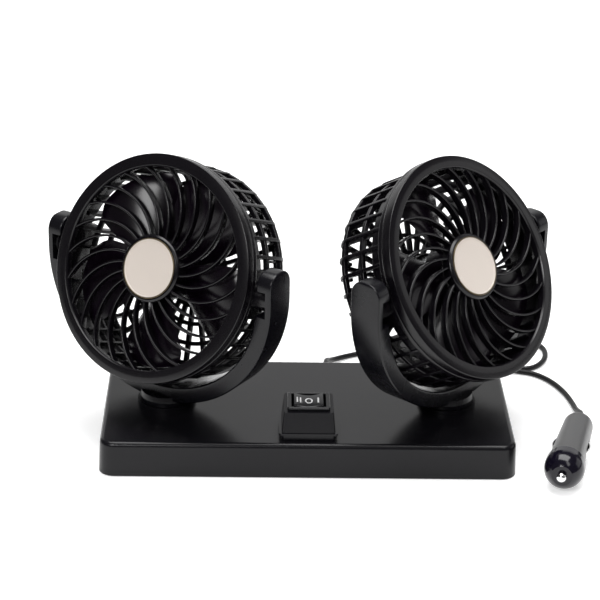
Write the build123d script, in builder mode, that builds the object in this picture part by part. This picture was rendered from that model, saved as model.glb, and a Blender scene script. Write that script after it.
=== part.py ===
from build123d import *
import os
from math import atan, cos, degrees, pi, radians, sin, sqrt, tan

os.makedirs("parts", exist_ok=True)

# Driving dimensions in millimetres: a car fan with two tilting heads on one base
fit_gap = 0.05
seat_gap = 0.3
cut_over = 5.0

# Base: moulded cover, bottom plate, adhesive pad and sunk screws
base_length = 210.0
base_depth = 98.6
base_height = 18.5
base_corner = 8.0
base_edge_round = 2.6
base_draft_angle = 2.2
cover_wall = 2.2
skirt_lift = 0.5
pad_length = 168.0
pad_width = 64.0
pad_thickness = 1.0
pad_corner = 4.0
plate_thickness = 2.4
plate_gap = 0.4
screw_inset_x = 12.5
screw_inset_y = 10.0
screw_shank_r = 1.25
screw_head_r = 2.7
screw_head_height = 1.5
screw_length = 10.0
screw_boss_r = 3.6
screw_drive_r = 0.75
screw_drive_depth = 0.8

# Switch pod on the cover, and the three-position rocker switch
pod_front_gap = 4.6
pod_plinth_height = 3.2
pod_plinth_width = 27.0
pod_plinth_depth = 23.0
pod_lip_width = 29.4
pod_lip_depth = 24.6
pod_lip_height = 1.0
pod_top_width = 24.6
pod_top_depth = 18.6
pod_height = 15.4
pod_slant_angle = 6.0
pod_corner = 1.6
bezel_length = 21.4
bezel_width = 15.2
bezel_height = 1.7
bezel_corner = 1.2
switch_length = 18.8
switch_width = 12.8
switch_depth = 16.0
rocker_length = 16.6
rocker_width = 11.2
rocker_side_gap = 0.4
rocker_rise = 2.6
rocker_dish = 1.3
rocker_depth = 6.0
rocker_pin_r = 1.2
terminal_width = 4.8
terminal_thickness = 0.8
terminal_drop = 5.0
terminal_pitch = 5.6
resistor_length = 22.0
resistor_side = 6.4
resistor_lead_r = 0.4
resistor_lead_reach = 5.0

# Swivels and U-shaped yokes
swivel_x = 72.4
boss_r = 15.0
boss_height = 2.2
foot_r = 14.0
spigot_r = 6.0
spigot_bore_r = 3.0
clip_groove_depth = 0.9
clip_thickness = 1.0
clip_r = 8.6
clip_opening_angle = 70.0
washer_r = 10.5
washer_thickness = 0.8
spigot_tail = 1.2
pivot_height = 73.4
yoke_r = 69.0
yoke_thickness = 8.5
yoke_width = 18.0
yoke_rise = 15.6
yoke_top_round = 7.6
yoke_edge_round = 0.9
pocket_depth = 5.4
pocket_half_height = 6.9
trunnion_gap = 0.4
stub_r = 3.0
stub_length = 1.9
tilt_washer_thickness = 0.8

# Heads: front grille, basket and badge
grille_r = 57.5
grille_open_r = 51.0
front_z = 15.2
cover_rim_depth = 5.8
basket_flange_depth = 3.0
rim_wall = 1.8
ring_set_back = 0.5
lip_depth = 4.4
lip_wall = 1.4
flange_thickness = 2.0
rib_count = 24
rib_width = 1.35
rib_depth = 4.2
rib_sweep_angle = 34.0
rib_start_angle = 7.4
rib_set_back = 1.3
hub_r = 17.1
hub_rise = 0.4
hub_wall = 2.0
badge_r = 14.7
badge_thickness = 1.3
badge_edge_round = 0.35
badge_seat_depth = 0.9
basket_r = 55.0
basket_knee_round = 9.0
basket_rear_z = -30.0
slat_count = 36
slat_width = 1.5
slat_thickness = 2.2
ring_width = 1.6
ring_thickness = 1.8
ring_recess = 0.5
ring_share = 0.58
rear_ring_count = 3
rear_ring_pitch = 10.2
rear_ring_width = 2.2
rear_bar_count = 26
rear_bar_width = 1.8
rear_bar_thickness = 2.0
motor_seat_r = 18.6
patch_angle = 26.0
patch_depth = 13.0
patch_wall = 2.4

# Motor, shaft and impeller
motor_r = 12.2
motor_length = 24.0
motor_wall = 0.8
motor_cup_wall = 1.8
motor_cup_depth = 13.0
shaft_r = 1.0
shaft_reach = 10.5
bush_r = 3.0
bush_length = 2.4
end_cap_thickness = 2.6
magnet_thickness = 1.8
magnet_length = 14.0
magnet_angle = 120.0
armature_r = 8.7
armature_length = 12.0
commutator_r = 2.4
commutator_length = 3.0
motor_terminal_width = 2.4
motor_terminal_thickness = 0.5
motor_terminal_reach = 3.0
motor_terminal_r = 7.0
blade_count = 5
impeller_hub_r = 15.0
impeller_hub_depth = 13.0
impeller_hub_wall = 1.6
impeller_hub_round = 2.0
impeller_boss_r = 3.2
impeller_boss_depth = 8.0
impeller_front_z = 8.0
blade_tip_r = 49.5
blade_root_r = 14.2
blade_root_chord = 23.0
blade_middle_chord = 40.0
blade_tip_chord = 50.0
blade_root_pitch = 34.0
blade_tip_pitch = 14.0
blade_thickness = 1.5
blade_camber_share = 0.10
blade_centre_z = -0.5

# Rest pose of the heads, as angles
left_yaw = 34.0
left_tilt = 22.0
left_spin = 57.0
right_yaw = 47.0
right_tilt = 30.5
right_spin = 24.0

# Cord, coil and tie
cord_r = 1.5
cord_exit_x = 12.0
cord_exit_z = 8.5
relief_length = 14.0
relief_root_r = 3.6
relief_tip_r = 2.3
relief_flange_r = 4.8
relief_flange_thickness = 1.2
relief_neck_r = 2.8
coil_x = 75.0
coil_y = 88.0
coil_mean_r = 17.5
coil_pitch = 3.45
coil_layer_turns = 5
coil_open_angle = 100.0
coil_entry_angle = 40.0
coil_lift = 0.95
tie_width = 5.0
tie_thickness = 0.6
tie_gap = 0.3
tie_side_gap = 0.8
cord_exit_run = 7.5
cord_join_run = 8.0
cord_arc_share = 0.45
plug_exit_run = 8.0
route_span = 100.0
lead_shares = [
    (0.148, 0.820, 0.012),
    (0.235, 0.900, 0),
    (0.350, 0.955, 0),
    (0.465, 1.040, 0),
    (0.600, 1.155, 0),
    (0.770, 1.205, 0),
    (0.950, 1.190, 0),
    (1.120, 1.210, 0),
    (1.275, 1.160, 0),
    (1.375, 1.050, 0),
    (1.370, 0.910, 0),
    (1.315, 0.805, 0),
    (1.252, 0.762, 0),
    (1.182, 0.766, 0),
    (1.120, 0.812, 0),
    (1.075, 0.885, 0.003),
]
tail_shares = [
    (1.055, 0.735, 0.030),
    (1.130, 0.742, 0.008),
    (1.200, 0.722, 0),
    (1.270, 0.675, 0),
    (1.350, 0.595, 0),
    (1.405, 0.480, 0),
    (1.440, 0.345, 0),
    (1.465, 0.235, 0.018),
]

# Plug for a 12 V socket
plug_nose_x = 127.5
plug_nose_y = -54.9
plug_yaw = 15.5
plug_nose_r = 10.2
plug_body_front_r = 9.3
plug_body_rear_r = 7.7
plug_body_length = 55.0
plug_rear_round = 3.2
plug_wall = 2.0
plug_nose_cap_length = 9.5
plug_nose_band = 4.0
plug_nose_front_r = 5.2
plug_cap_thread_r = 6.8
plug_cap_thread_length = 5.0
tip_r = 2.45
tip_reach = 3.4
tip_collar_r = 4.2
tip_collar_thickness = 1.6
fuse_r = 3.1
fuse_length = 20.0
fuse_cap_length = 4.5
spring_wire_r = 0.35
spring_r = 2.6
spring_turns = 6
spring_length = 10.0
contact_width = 3.2
contact_thickness = 0.5
contact_length = 16.0
contact_bow = 1.5
contact_centre = 24.0
contact_slot_margin = 0.5
plug_relief_length = 6.0
plug_relief_r = 3.0
plug_relief_tip_r = 2.2

# Heights and places that follow from the sizes above
cord_d = 2 * cord_r
base_front_y = -base_depth / 2
base_back_y = base_depth / 2
plate_bottom = pad_thickness
plate_top = plate_bottom + plate_thickness
ceiling_z = base_height - cover_wall
pivot_z = base_height + pivot_height
yoke_inner_r = yoke_r - yoke_thickness
rim_back_z = front_z - cover_rim_depth
basket_front_z = rim_back_z - basket_flange_depth
motor_rear_z = basket_rear_z + rear_bar_thickness
motor_front_z = motor_rear_z + motor_length


def save(piece, name):
    """Label one finished piece and write its STEP file."""
    piece.label = name
    export_step(piece, f"parts/{name}.step")


def ring_solid(inner_r, outer_r, low, high, plane=Plane.XY):
    """A plain washer or bush between two heights along a plane's normal."""
    with BuildPart() as ring:
        with BuildSketch(plane.offset(low)):
            Circle(outer_r)
            Circle(inner_r, mode=Mode.SUBTRACT)
        extrude(amount=high - low)
    return ring.part


# Base screws stand at the corners and at the middle of the long sides
screw_x = base_length / 2 - screw_inset_x
screw_y = base_depth / 2 - screw_inset_y
screw_places = [(x, y) for x in (-screw_x, 0, screw_x) for y in (-screw_y, screw_y)]
switch_y = base_front_y + pod_front_gap + pod_lip_depth / 2
screw_places = [(x, y) for x, y in screw_places if not (x == 0 and y < 0)]

# The switch sits on a plane that leans towards the user
switch_z = base_height + pod_height
switch_plane = Plane(
    origin=(0, switch_y, switch_z),
    x_dir=(1, 0, 0),
    z_dir=(0, -sin(radians(pod_slant_angle)), cos(radians(pod_slant_angle))),
)
swivel_places = [(-swivel_x, 0), (swivel_x, 0)]

# Base cover: drafted shell with swivel bosses, screw bosses and the switch pod
with BuildPart() as base_cover:
    with BuildSketch(Plane.XY.offset(skirt_lift)):
        RectangleRounded(base_length, base_depth, base_corner)
    extrude(amount=base_height - skirt_lift, taper=base_draft_angle)
    top_rim = base_cover.faces().sort_by(Axis.Z)[-1].edges()
    fillet(top_rim, base_edge_round)
    with BuildSketch(Plane.XY.offset(base_height)):
        with Locations(swivel_places):
            Circle(boss_r)
    extrude(amount=boss_height)
    with BuildSketch(Plane.XY.offset(base_height - cover_wall)):
        with Locations((0, switch_y)):
            RectangleRounded(pod_plinth_width, pod_plinth_depth, pod_corner)
    extrude(amount=cover_wall + pod_plinth_height)
    with BuildSketch(Plane.XY.offset(base_height + pod_plinth_height)):
        with Locations((0, switch_y)):
            RectangleRounded(pod_lip_width, pod_lip_depth, pod_corner)
    extrude(amount=pod_lip_height)
    with BuildSketch(Plane.XY.offset(base_height + pod_plinth_height + pod_lip_height)):
        with Locations((0, switch_y)):
            RectangleRounded(pod_plinth_width, pod_plinth_depth, pod_corner)
    with BuildSketch(switch_plane):
        RectangleRounded(pod_top_width, pod_top_depth, pod_corner)
    loft(ruled=True)
    # Hollow of the base, open below
    with BuildSketch(Plane.XY.offset(skirt_lift)):
        RectangleRounded(
            base_length - 2 * cover_wall, base_depth - 2 * cover_wall, base_corner - cover_wall
        )
    extrude(amount=ceiling_z - skirt_lift, taper=base_draft_angle, mode=Mode.SUBTRACT)
    # Screw bosses hang from the ceiling to the bottom plate
    with BuildSketch(Plane.XY.offset(plate_top)):
        with Locations(screw_places):
            Circle(screw_boss_r)
            Circle(screw_shank_r, mode=Mode.SUBTRACT)
    extrude(amount=ceiling_z - plate_top + fit_gap)
    # Well for the switch body and holes for the swivel spigots
    with BuildSketch(switch_plane):
        Rectangle(switch_length + 2 * fit_gap, switch_width + 2 * fit_gap)
    extrude(amount=-(pod_height + cover_wall + cut_over), mode=Mode.SUBTRACT)
    with BuildSketch(Plane.XY.offset(ceiling_z)):
        with Locations(swivel_places):
            Circle(spigot_r + fit_gap)
    extrude(amount=cover_wall + boss_height, mode=Mode.SUBTRACT)
    # Hole in the back wall for the cord's strain relief
    with BuildSketch(Plane.XZ.offset(-base_back_y - cover_wall)):
        with Locations((cord_exit_x, cord_exit_z)):
            Circle(relief_neck_r + fit_gap)
    extrude(amount=3 * cover_wall, mode=Mode.SUBTRACT)
save(base_cover.part, "base_cover")

# Bottom plate inside the skirt
with BuildPart() as base_plate:
    with BuildSketch(Plane.XY.offset(plate_bottom)):
        RectangleRounded(
            base_length - 2 * (cover_wall + plate_gap),
            base_depth - 2 * (cover_wall + plate_gap),
            base_corner - cover_wall,
        )
    extrude(amount=plate_thickness)
    with BuildSketch(Plane.XY.offset(plate_bottom)):
        with Locations(screw_places):
            Circle(screw_shank_r + fit_gap)
    extrude(amount=plate_thickness, mode=Mode.SUBTRACT)
    with BuildSketch(Plane.XY.offset(plate_bottom)):
        with Locations(screw_places):
            Circle(screw_head_r + fit_gap)
    extrude(amount=screw_head_height, mode=Mode.SUBTRACT)
save(base_plate.part, "base_plate")

# Self-tapping screws, heads sunk in the plate and shanks up in the cover's bosses
with BuildPart() as base_screws:
    with BuildSketch(Plane.XY.offset(plate_bottom)):
        with Locations(screw_places):
            Circle(screw_head_r)
    extrude(amount=screw_head_height)
    with BuildSketch(Plane.XY.offset(plate_bottom + screw_head_height)):
        with Locations(screw_places):
            Circle(screw_shank_r)
    extrude(amount=screw_length)
    with BuildSketch(Plane.XY.offset(plate_bottom)):
        with Locations(screw_places):
            Rectangle(2 * screw_head_r - 4 * screw_drive_depth + screw_drive_r, screw_drive_r)
            Rectangle(screw_drive_r, 2 * screw_head_r - 4 * screw_drive_depth + screw_drive_r)
    extrude(amount=screw_drive_depth, mode=Mode.SUBTRACT)
save(base_screws.part, "base_screws")

# Double-sided foam pad that holds the base on a dashboard
with BuildPart() as adhesive_pad:
    with BuildSketch():
        RectangleRounded(pad_length, pad_width, pad_corner)
    extrude(amount=pad_thickness)
save(adhesive_pad.part, "adhesive_pad")

# Switch body: bezel on the pod's top and a box with the rocker's well
rocker_pin_drop = rocker_depth / 4
pin_origin = switch_plane.origin - switch_plane.z_dir * rocker_pin_drop
pin_plane = Plane(origin=pin_origin, x_dir=switch_plane.x_dir, z_dir=-switch_plane.y_dir)
rocker_swing_r = rocker_length / 2
well_length = rocker_length + 2 * rocker_side_gap
well_width = rocker_width + 2 * rocker_side_gap
pin_half = rocker_width / 2 + (switch_width - well_width) / 3 + rocker_side_gap
with BuildPart() as switch_body:
    with BuildSketch(switch_plane):
        RectangleRounded(bezel_length, bezel_width, bezel_corner)
    extrude(amount=bezel_height)
    fillet(switch_body.faces().sort_by(Axis.Z)[-1].edges(), bezel_height / 3)
    with BuildSketch(switch_plane):
        Rectangle(switch_length, switch_width)
    extrude(amount=-switch_depth)
    with BuildSketch(switch_plane.offset(bezel_height)):
        Rectangle(well_length, well_width)
    extrude(amount=-(bezel_height + 2 * rocker_depth), mode=Mode.SUBTRACT)
    with BuildSketch(pin_plane):
        Circle(rocker_pin_r + fit_gap)
    extrude(amount=pin_half + fit_gap, both=True, mode=Mode.SUBTRACT)
save(switch_body.part, "switch_body")

# Rocker: boat shape whose ends are arcs about the pin, with a dished top
rocker_top = rocker_pin_drop + rocker_rise
rocker_foot = rocker_depth - rocker_pin_drop
top_x = sqrt(rocker_swing_r**2 - rocker_top**2)
foot_x = sqrt(rocker_swing_r**2 - rocker_foot**2)
with BuildPart() as switch_rocker:
    with BuildSketch(pin_plane):
        with BuildLine():
            ThreePointArc((-foot_x, -rocker_foot), (-rocker_swing_r, 0), (-top_x, rocker_top))
            ThreePointArc((-top_x, rocker_top), (0, rocker_top - rocker_dish), (top_x, rocker_top))
            ThreePointArc((top_x, rocker_top), (rocker_swing_r, 0), (foot_x, -rocker_foot))
            Line((foot_x, -rocker_foot), (-foot_x, -rocker_foot))
        make_face()
    extrude(amount=rocker_width / 2, both=True)
    with BuildSketch(pin_plane):
        Circle(rocker_pin_r)
    extrude(amount=pin_half, both=True)
save(switch_rocker.part, "switch_rocker")

# Three spade terminals under the switch
with BuildPart() as switch_terminals:
    with BuildSketch(switch_plane.offset(-switch_depth)):
        with Locations((-terminal_pitch, 0), (0, 0), (terminal_pitch, 0)):
            Rectangle(terminal_thickness, terminal_width)
    extrude(amount=-terminal_drop)
save(switch_terminals.part, "switch_terminals")

# Ceramic resistor for the low speed, lying on the bottom plate
resistor_x = (swivel_x - foot_r) / 2
with BuildPart() as speed_resistor:
    with BuildSketch(Plane.XY.offset(plate_top)):
        with Locations((resistor_x, resistor_side)):
            Rectangle(resistor_length, resistor_side)
    extrude(amount=resistor_side)
    with BuildSketch(Plane.YZ.offset(resistor_x)):
        with Locations((resistor_side, plate_top + resistor_side / 2)):
            Circle(resistor_lead_r)
    extrude(amount=resistor_length / 2 + resistor_lead_reach, both=True)
save(speed_resistor.part, "speed_resistor")

# Strain relief: flange inside the back wall, neck in its hole, tapered sleeve outside
relief_plane = Plane(origin=(cord_exit_x, base_back_y, cord_exit_z), x_dir=(1, 0, 0), z_dir=(0, 1, 0))
flange_y = -cover_wall - (cord_exit_z + relief_flange_r) * tan(radians(base_draft_angle))
with BuildPart() as cord_strain_relief:
    with BuildSketch(Plane(origin=relief_plane.origin, x_dir=(0, 1, 0), z_dir=(1, 0, 0))):
        with BuildLine():
            Polyline(
                (flange_y - relief_flange_thickness, 0),
                (flange_y - relief_flange_thickness, relief_flange_r),
                (flange_y, relief_flange_r),
                (flange_y, relief_neck_r),
                (0, relief_neck_r),
                (0, relief_root_r),
                (relief_length / 4, relief_root_r),
                (relief_length, relief_tip_r),
                (relief_length, 0),
                close=True,
            )
        make_face()
    revolve(axis=Axis(relief_plane.origin, relief_plane.z_dir))
    for ring_index in range(3):
        groove_low = relief_length * (3 + 2 * ring_index) / 10
        with BuildSketch(relief_plane.offset(groove_low)):
            Circle(relief_root_r)
            Circle(relief_tip_r - relief_root_r / 20, mode=Mode.SUBTRACT)
        extrude(amount=relief_length / 14, mode=Mode.SUBTRACT)
save(cord_strain_relief.part, "cord_strain_relief")

# Yoke, made in its own frame: origin on the tilt axis, X along that axis, -Y to the front
foot_z = base_height + boss_height - pivot_z
spigot_z = ceiling_z - washer_thickness - clip_thickness - spigot_tail - pivot_z
foot_height = boss_height * 3 / 2
pocket_floor = yoke_inner_r + pocket_depth
with BuildPart() as yoke:
    with BuildSketch(Plane.XZ):
        with BuildLine():
            Line((yoke_r, yoke_rise), (yoke_r, 0))
            ThreePointArc((yoke_r, 0), (0, -yoke_r), (-yoke_r, 0))
            Line((-yoke_r, 0), (-yoke_r, yoke_rise))
            Line((-yoke_r, yoke_rise), (-yoke_inner_r, yoke_rise))
            Line((-yoke_inner_r, yoke_rise), (-yoke_inner_r, 0))
            ThreePointArc((-yoke_inner_r, 0), (0, -yoke_inner_r), (yoke_inner_r, 0))
            Line((yoke_inner_r, 0), (yoke_inner_r, yoke_rise))
            Line((yoke_inner_r, yoke_rise), (yoke_r, yoke_rise))
        make_face()
    extrude(amount=yoke_width / 2, both=True)
    with BuildSketch(Plane.YZ) as arch:
        with Locations((0, yoke_rise / 2 - yoke_r)):
            Rectangle(yoke_width, yoke_rise + 2 * yoke_r)
        fillet(arch.vertices().sort_by(Axis.Y)[-2:], yoke_top_round)
    extrude(amount=yoke_r, both=True, mode=Mode.INTERSECT)
    broad_faces = yoke.faces().filter_by(Axis.Y).sort_by(Axis.Y)
    fillet(broad_faces[0].edges() + broad_faces[-1].edges(), yoke_edge_round)
    with BuildSketch(Plane.XY.offset(foot_z)):
        Circle(foot_r)
    extrude(amount=foot_height)
    with BuildSketch(Plane.XY.offset(spigot_z)):
        Circle(spigot_r)
    extrude(amount=foot_z - spigot_z)
    with BuildSketch(Plane.XY.offset(spigot_z + spigot_tail)):
        Circle(spigot_r)
        Circle(spigot_r - clip_groove_depth, mode=Mode.SUBTRACT)
    extrude(amount=clip_thickness, mode=Mode.SUBTRACT)
    with BuildSketch(Plane.XY.offset(spigot_z)):
        Circle(spigot_bore_r)
    extrude(amount=foot_z - spigot_z + foot_height / 2, mode=Mode.SUBTRACT)
    # Pockets for the trunnions, open to the front and to the inside, and blind bores
    for facing in (-1, 1):
        pocket_start = yoke_inner_r - pocket_depth
        side_plane = Plane(origin=(facing * pocket_start, 0, 0), x_dir=(0, 1, 0), z_dir=(1, 0, 0))
        with BuildSketch(side_plane):
            Circle(pocket_half_height)
            with Locations((-yoke_width / 2, 0)):
                Rectangle(yoke_width, 2 * pocket_half_height)
        extrude(amount=facing * 2 * pocket_depth, mode=Mode.SUBTRACT)
        with BuildSketch(side_plane.offset(facing * 2 * pocket_depth)):
            Circle(stub_r + fit_gap)
        extrude(amount=facing * (stub_length + fit_gap), mode=Mode.SUBTRACT)

# Friction washer under the cover and the clip that holds the spigot
washer_top = ceiling_z - pivot_z
swivel_washer = ring_solid(
    spigot_r + fit_gap, washer_r, washer_top - washer_thickness, washer_top
)
with BuildPart() as swivel_clip:
    with BuildSketch(Plane.XY.offset(washer_top - washer_thickness - clip_thickness)):
        Circle(clip_r)
        Circle(spigot_r - clip_groove_depth + fit_gap, mode=Mode.SUBTRACT)
        opening_x = clip_r * tan(radians(clip_opening_angle / 2))
        with BuildLine():
            Polyline((0, 0), (clip_r, opening_x), (clip_r, -opening_x), close=True)
        make_face(mode=Mode.SUBTRACT)
    extrude(amount=clip_thickness)


def polar(radius, angle, height=None):
    """A point at a radius and an angle in degrees, in a plane or at a height."""
    flat = (radius * cos(radians(angle)), radius * sin(radians(angle)))
    return flat if height is None else (*flat, height)


# Head, made in its own frame: X along the tilt axis, Y up, Z out of the front
trunnion_r = pocket_half_height - trunnion_gap
trunnion_end = pocket_floor - tilt_washer_thickness

# Front grille: ring with an inner lip, curved ribs and the hub boss
rib_front_z = front_z - rib_set_back
rib_inner_r = hub_r - hub_wall / 2
rib_outer_r = grille_open_r + lip_wall / 2
with BuildPart() as front_grille:
    with BuildSketch(Plane.XZ):
        with BuildLine():
            Polyline(
                (grille_r, rim_back_z),
                (grille_r, front_z - 2 * ring_set_back),
                (grille_r - ring_set_back, front_z - ring_set_back),
                (grille_open_r + lip_wall / 2, front_z),
                (grille_open_r, front_z - lip_wall / 3),
                (grille_open_r, front_z - lip_depth),
                (grille_open_r + lip_wall, front_z - lip_depth),
                (grille_open_r + lip_wall, front_z - flange_thickness),
                (grille_r - rim_wall, front_z - flange_thickness - ring_set_back),
                (grille_r - rim_wall, rim_back_z),
                close=True,
            )
        make_face()
    revolve(axis=Axis.Z)
    with BuildSketch(Plane.XY.offset(rib_front_z - rib_depth)):
        rib_start = Vector(*polar(rib_inner_r, 0))
        rib_end = Vector(*polar(rib_outer_r, rib_sweep_angle))
        lean = Vector(*polar(1, rib_start_angle))
        with PolarLocations(0, rib_count):
            SlotArc(Edge.make_tangent_arc(rib_start, lean, rib_end), rib_width)
        Circle(hub_r)
    extrude(amount=rib_depth)
    with BuildSketch(Plane.XY.offset(rib_front_z)):
        Circle(hub_r)
    extrude(amount=rib_set_back + hub_rise)
    fillet(front_grille.edges().filter_by(GeomType.CIRCLE).group_by(Axis.Z)[-1], hub_rise)
    with BuildSketch(Plane.XY.offset(front_z + hub_rise - badge_seat_depth)):
        Circle(badge_r + fit_gap)
    extrude(amount=badge_seat_depth, mode=Mode.SUBTRACT)
    with BuildSketch(Plane.XY.offset(rib_front_z - rib_depth)):
        Circle(hub_r - hub_wall)
    extrude(amount=rib_depth - hub_wall, mode=Mode.SUBTRACT)

# Badge: a thin disc with a rounded rim, set in the hub
with BuildPart() as hub_badge:
    with BuildSketch(Plane.XY.offset(front_z + hub_rise - badge_seat_depth)):
        Circle(badge_r)
    extrude(amount=badge_thickness)
    fillet(hub_badge.faces().sort_by(Axis.Z)[-1].edges(), badge_edge_round)

# Basket: one slat runs from the flange round the knee to the rear face
knee_r = basket_r - basket_knee_round
knee_z = basket_rear_z + basket_knee_round
with BuildPart() as slat:
    with BuildSketch(Plane.XZ):
        with BuildLine():
            slat_inner_r = basket_r - slat_thickness
            slat_front_z = basket_front_z + basket_flange_depth / 2
            slat_rear_z = basket_rear_z + slat_thickness
            Line((slat_inner_r, slat_front_z), (basket_r, slat_front_z))
            Line((basket_r, slat_front_z), (basket_r, knee_z))
            RadiusArc((basket_r, knee_z), (knee_r, basket_rear_z), basket_knee_round)
            Line((knee_r, basket_rear_z), (knee_r, slat_rear_z))
            RadiusArc((knee_r, slat_rear_z), (slat_inner_r, knee_z), slat_thickness - basket_knee_round)
            Line((slat_inner_r, knee_z), (slat_inner_r, slat_front_z))
        make_face()
    extrude(amount=slat_width / 2, both=True)

ring_z_step = (basket_front_z - knee_z) * ring_share
with BuildPart() as rear_basket:
    with BuildSketch(Plane.XZ):
        with BuildLine():
            Polyline(
                (grille_r, basket_front_z),
                (grille_r, rim_back_z),
                (grille_r - rim_wall - fit_gap, rim_back_z),
                (grille_r - rim_wall - fit_gap, rim_back_z + rim_wall),
                (grille_r - 2 * rim_wall, rim_back_z + rim_wall),
                (grille_r - 2 * rim_wall, basket_front_z),
                close=True,
            )
        make_face()
        for ring_z in (basket_front_z - ring_z_step, knee_z - ring_width):
            with Locations((basket_r - ring_recess - ring_thickness / 2, ring_z)):
                Rectangle(ring_thickness, ring_width)
    revolve(axis=Axis.Z)
    # Rear face: motor seat, rings and straight bars
    with BuildSketch(Plane.XY.offset(basket_rear_z)):
        bar_length = knee_r - motor_seat_r + 2 * rear_bar_width
        with PolarLocations(motor_seat_r - rear_bar_width + bar_length / 2, rear_bar_count):
            Rectangle(bar_length, rear_bar_width)
        Circle(motor_seat_r)
    extrude(amount=rear_bar_thickness)
    with BuildSketch(Plane.XY.offset(basket_rear_z)):
        for step in range(rear_ring_count):
            rear_ring_r = knee_r + rear_ring_width - step * rear_ring_pitch
            Circle(rear_ring_r)
            Circle(rear_ring_r - rear_ring_width, mode=Mode.SUBTRACT)
    extrude(amount=rear_bar_thickness)
    with PolarLocations(0, slat_count):
        add(slat.part)
    # Cup for the motor
    with BuildSketch(Plane.XY.offset(motor_rear_z)):
        Circle(motor_r + motor_cup_wall)
        Circle(motor_r, mode=Mode.SUBTRACT)
    extrude(amount=motor_cup_depth)
    # Solid wall at the tilt axis with a trunnion and its stub on each side
    for facing in (-1, 1):
        wall_plane = Plane(origin=(0, 0, 0), x_dir=(facing, 0, 0), z_dir=(0, -1, 0))
        with BuildSketch(wall_plane.rotated((0, 0, -patch_angle / 2))):
            with Locations((basket_r - patch_wall / 2, basket_front_z - patch_depth / 2)):
                Rectangle(patch_wall, patch_depth)
        revolve(axis=Axis.Z, revolution_arc=patch_angle)
        axis_plane = Plane(origin=(0, 0, 0), x_dir=(0, 1, 0), z_dir=(facing, 0, 0))
        with BuildSketch(axis_plane.offset(basket_r - patch_wall)):
            Circle(trunnion_r)
        extrude(amount=trunnion_end - basket_r + patch_wall)
        with BuildSketch(axis_plane.offset(trunnion_end)):
            Circle(stub_r)
        extrude(amount=pocket_floor + stub_length - trunnion_end)
    # Slots for the motor's terminals
    with BuildSketch(Plane.XY.offset(basket_rear_z)):
        with Locations((-motor_terminal_r, 0), (motor_terminal_r, 0)):
            Rectangle(2 * motor_terminal_width, 2 * motor_terminal_width)
    extrude(amount=rear_bar_thickness, mode=Mode.SUBTRACT)

# Friction washers on the stubs, between the trunnions and the pocket floors
with BuildPart() as tilt_washers:
    for facing in (-1, 1):
        axis_plane = Plane(origin=(0, 0, 0), x_dir=(0, 1, 0), z_dir=(facing, 0, 0))
        with BuildSketch(axis_plane.offset(trunnion_end)):
            Circle(trunnion_r - trunnion_gap)
            Circle(stub_r + fit_gap, mode=Mode.SUBTRACT)
        extrude(amount=tilt_washer_thickness)

# Motor: steel can with a hole for the front bush
with BuildPart() as motor_can:
    with BuildSketch(Plane.XY.offset(motor_rear_z)):
        Circle(motor_r)
    extrude(amount=motor_length)
    fillet(motor_can.edges().filter_by(GeomType.CIRCLE).group_by(Axis.Z)[-1], motor_wall)
    with BuildSketch(Plane.XY.offset(motor_rear_z)):
        Circle(motor_r - motor_wall)
    extrude(amount=motor_length - motor_wall, mode=Mode.SUBTRACT)
    with BuildSketch(Plane.XY.offset(motor_front_z - motor_wall)):
        Circle(bush_r)
    extrude(amount=motor_wall, mode=Mode.SUBTRACT)
end_cap_top = motor_rear_z + end_cap_thickness
motor_end_cap = ring_solid(bush_r, motor_r - motor_wall, motor_rear_z, end_cap_top)
with BuildPart() as motor_bushes:
    for low in (motor_rear_z + end_cap_thickness - bush_length, motor_front_z - bush_length):
        with BuildSketch(Plane.XY.offset(low)):
            Circle(bush_r)
            Circle(shaft_r + fit_gap, mode=Mode.SUBTRACT)
        extrude(amount=bush_length)
magnet_low = end_cap_top + commutator_length
magnet_outer_r = motor_r - motor_wall
with BuildPart() as motor_magnets:
    for middle in (-90, 90):
        magnet_plane = Plane(origin=(0, 0, 0), x_dir=polar(1, middle - magnet_angle / 2, 0), z_dir=(0, 0, 1))
        with BuildSketch(Plane(origin=(0, 0, 0), x_dir=magnet_plane.x_dir, z_dir=-magnet_plane.y_dir)):
            with Locations((magnet_outer_r - magnet_thickness / 2, magnet_low + magnet_length / 2)):
                Rectangle(magnet_thickness, magnet_length)
        revolve(axis=Axis.Z, revolution_arc=magnet_angle)
shaft_low = motor_rear_z + fit_gap
with BuildPart() as motor_shaft:
    with BuildSketch(Plane.XY.offset(shaft_low)):
        Circle(shaft_r)
    extrude(amount=motor_length + shaft_reach)
armature_low = magnet_low + (magnet_length - armature_length) / 2
with BuildPart() as motor_armature:
    with BuildSketch(Plane.XY.offset(armature_low)):
        Circle(armature_r)
    extrude(amount=armature_length)
    with BuildSketch(Plane.XY.offset(armature_low)):
        with PolarLocations(armature_r, 3):
            Rectangle(armature_r, shaft_r)
    extrude(amount=armature_length, mode=Mode.SUBTRACT)
    with BuildSketch(Plane.XY.offset(armature_low - commutator_length)):
        Circle(commutator_r)
    extrude(amount=commutator_length + armature_length / 2)
    with BuildSketch(Plane.XY.offset(armature_low - commutator_length)):
        Circle(shaft_r)
    extrude(amount=commutator_length + armature_length, mode=Mode.SUBTRACT)
with BuildPart() as motor_terminals:
    with BuildSketch(Plane.XY.offset(motor_rear_z)):
        with Locations((-motor_terminal_r, 0), (motor_terminal_r, 0)):
            Rectangle(motor_terminal_thickness, motor_terminal_width)
    extrude(amount=-motor_terminal_reach)

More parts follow.
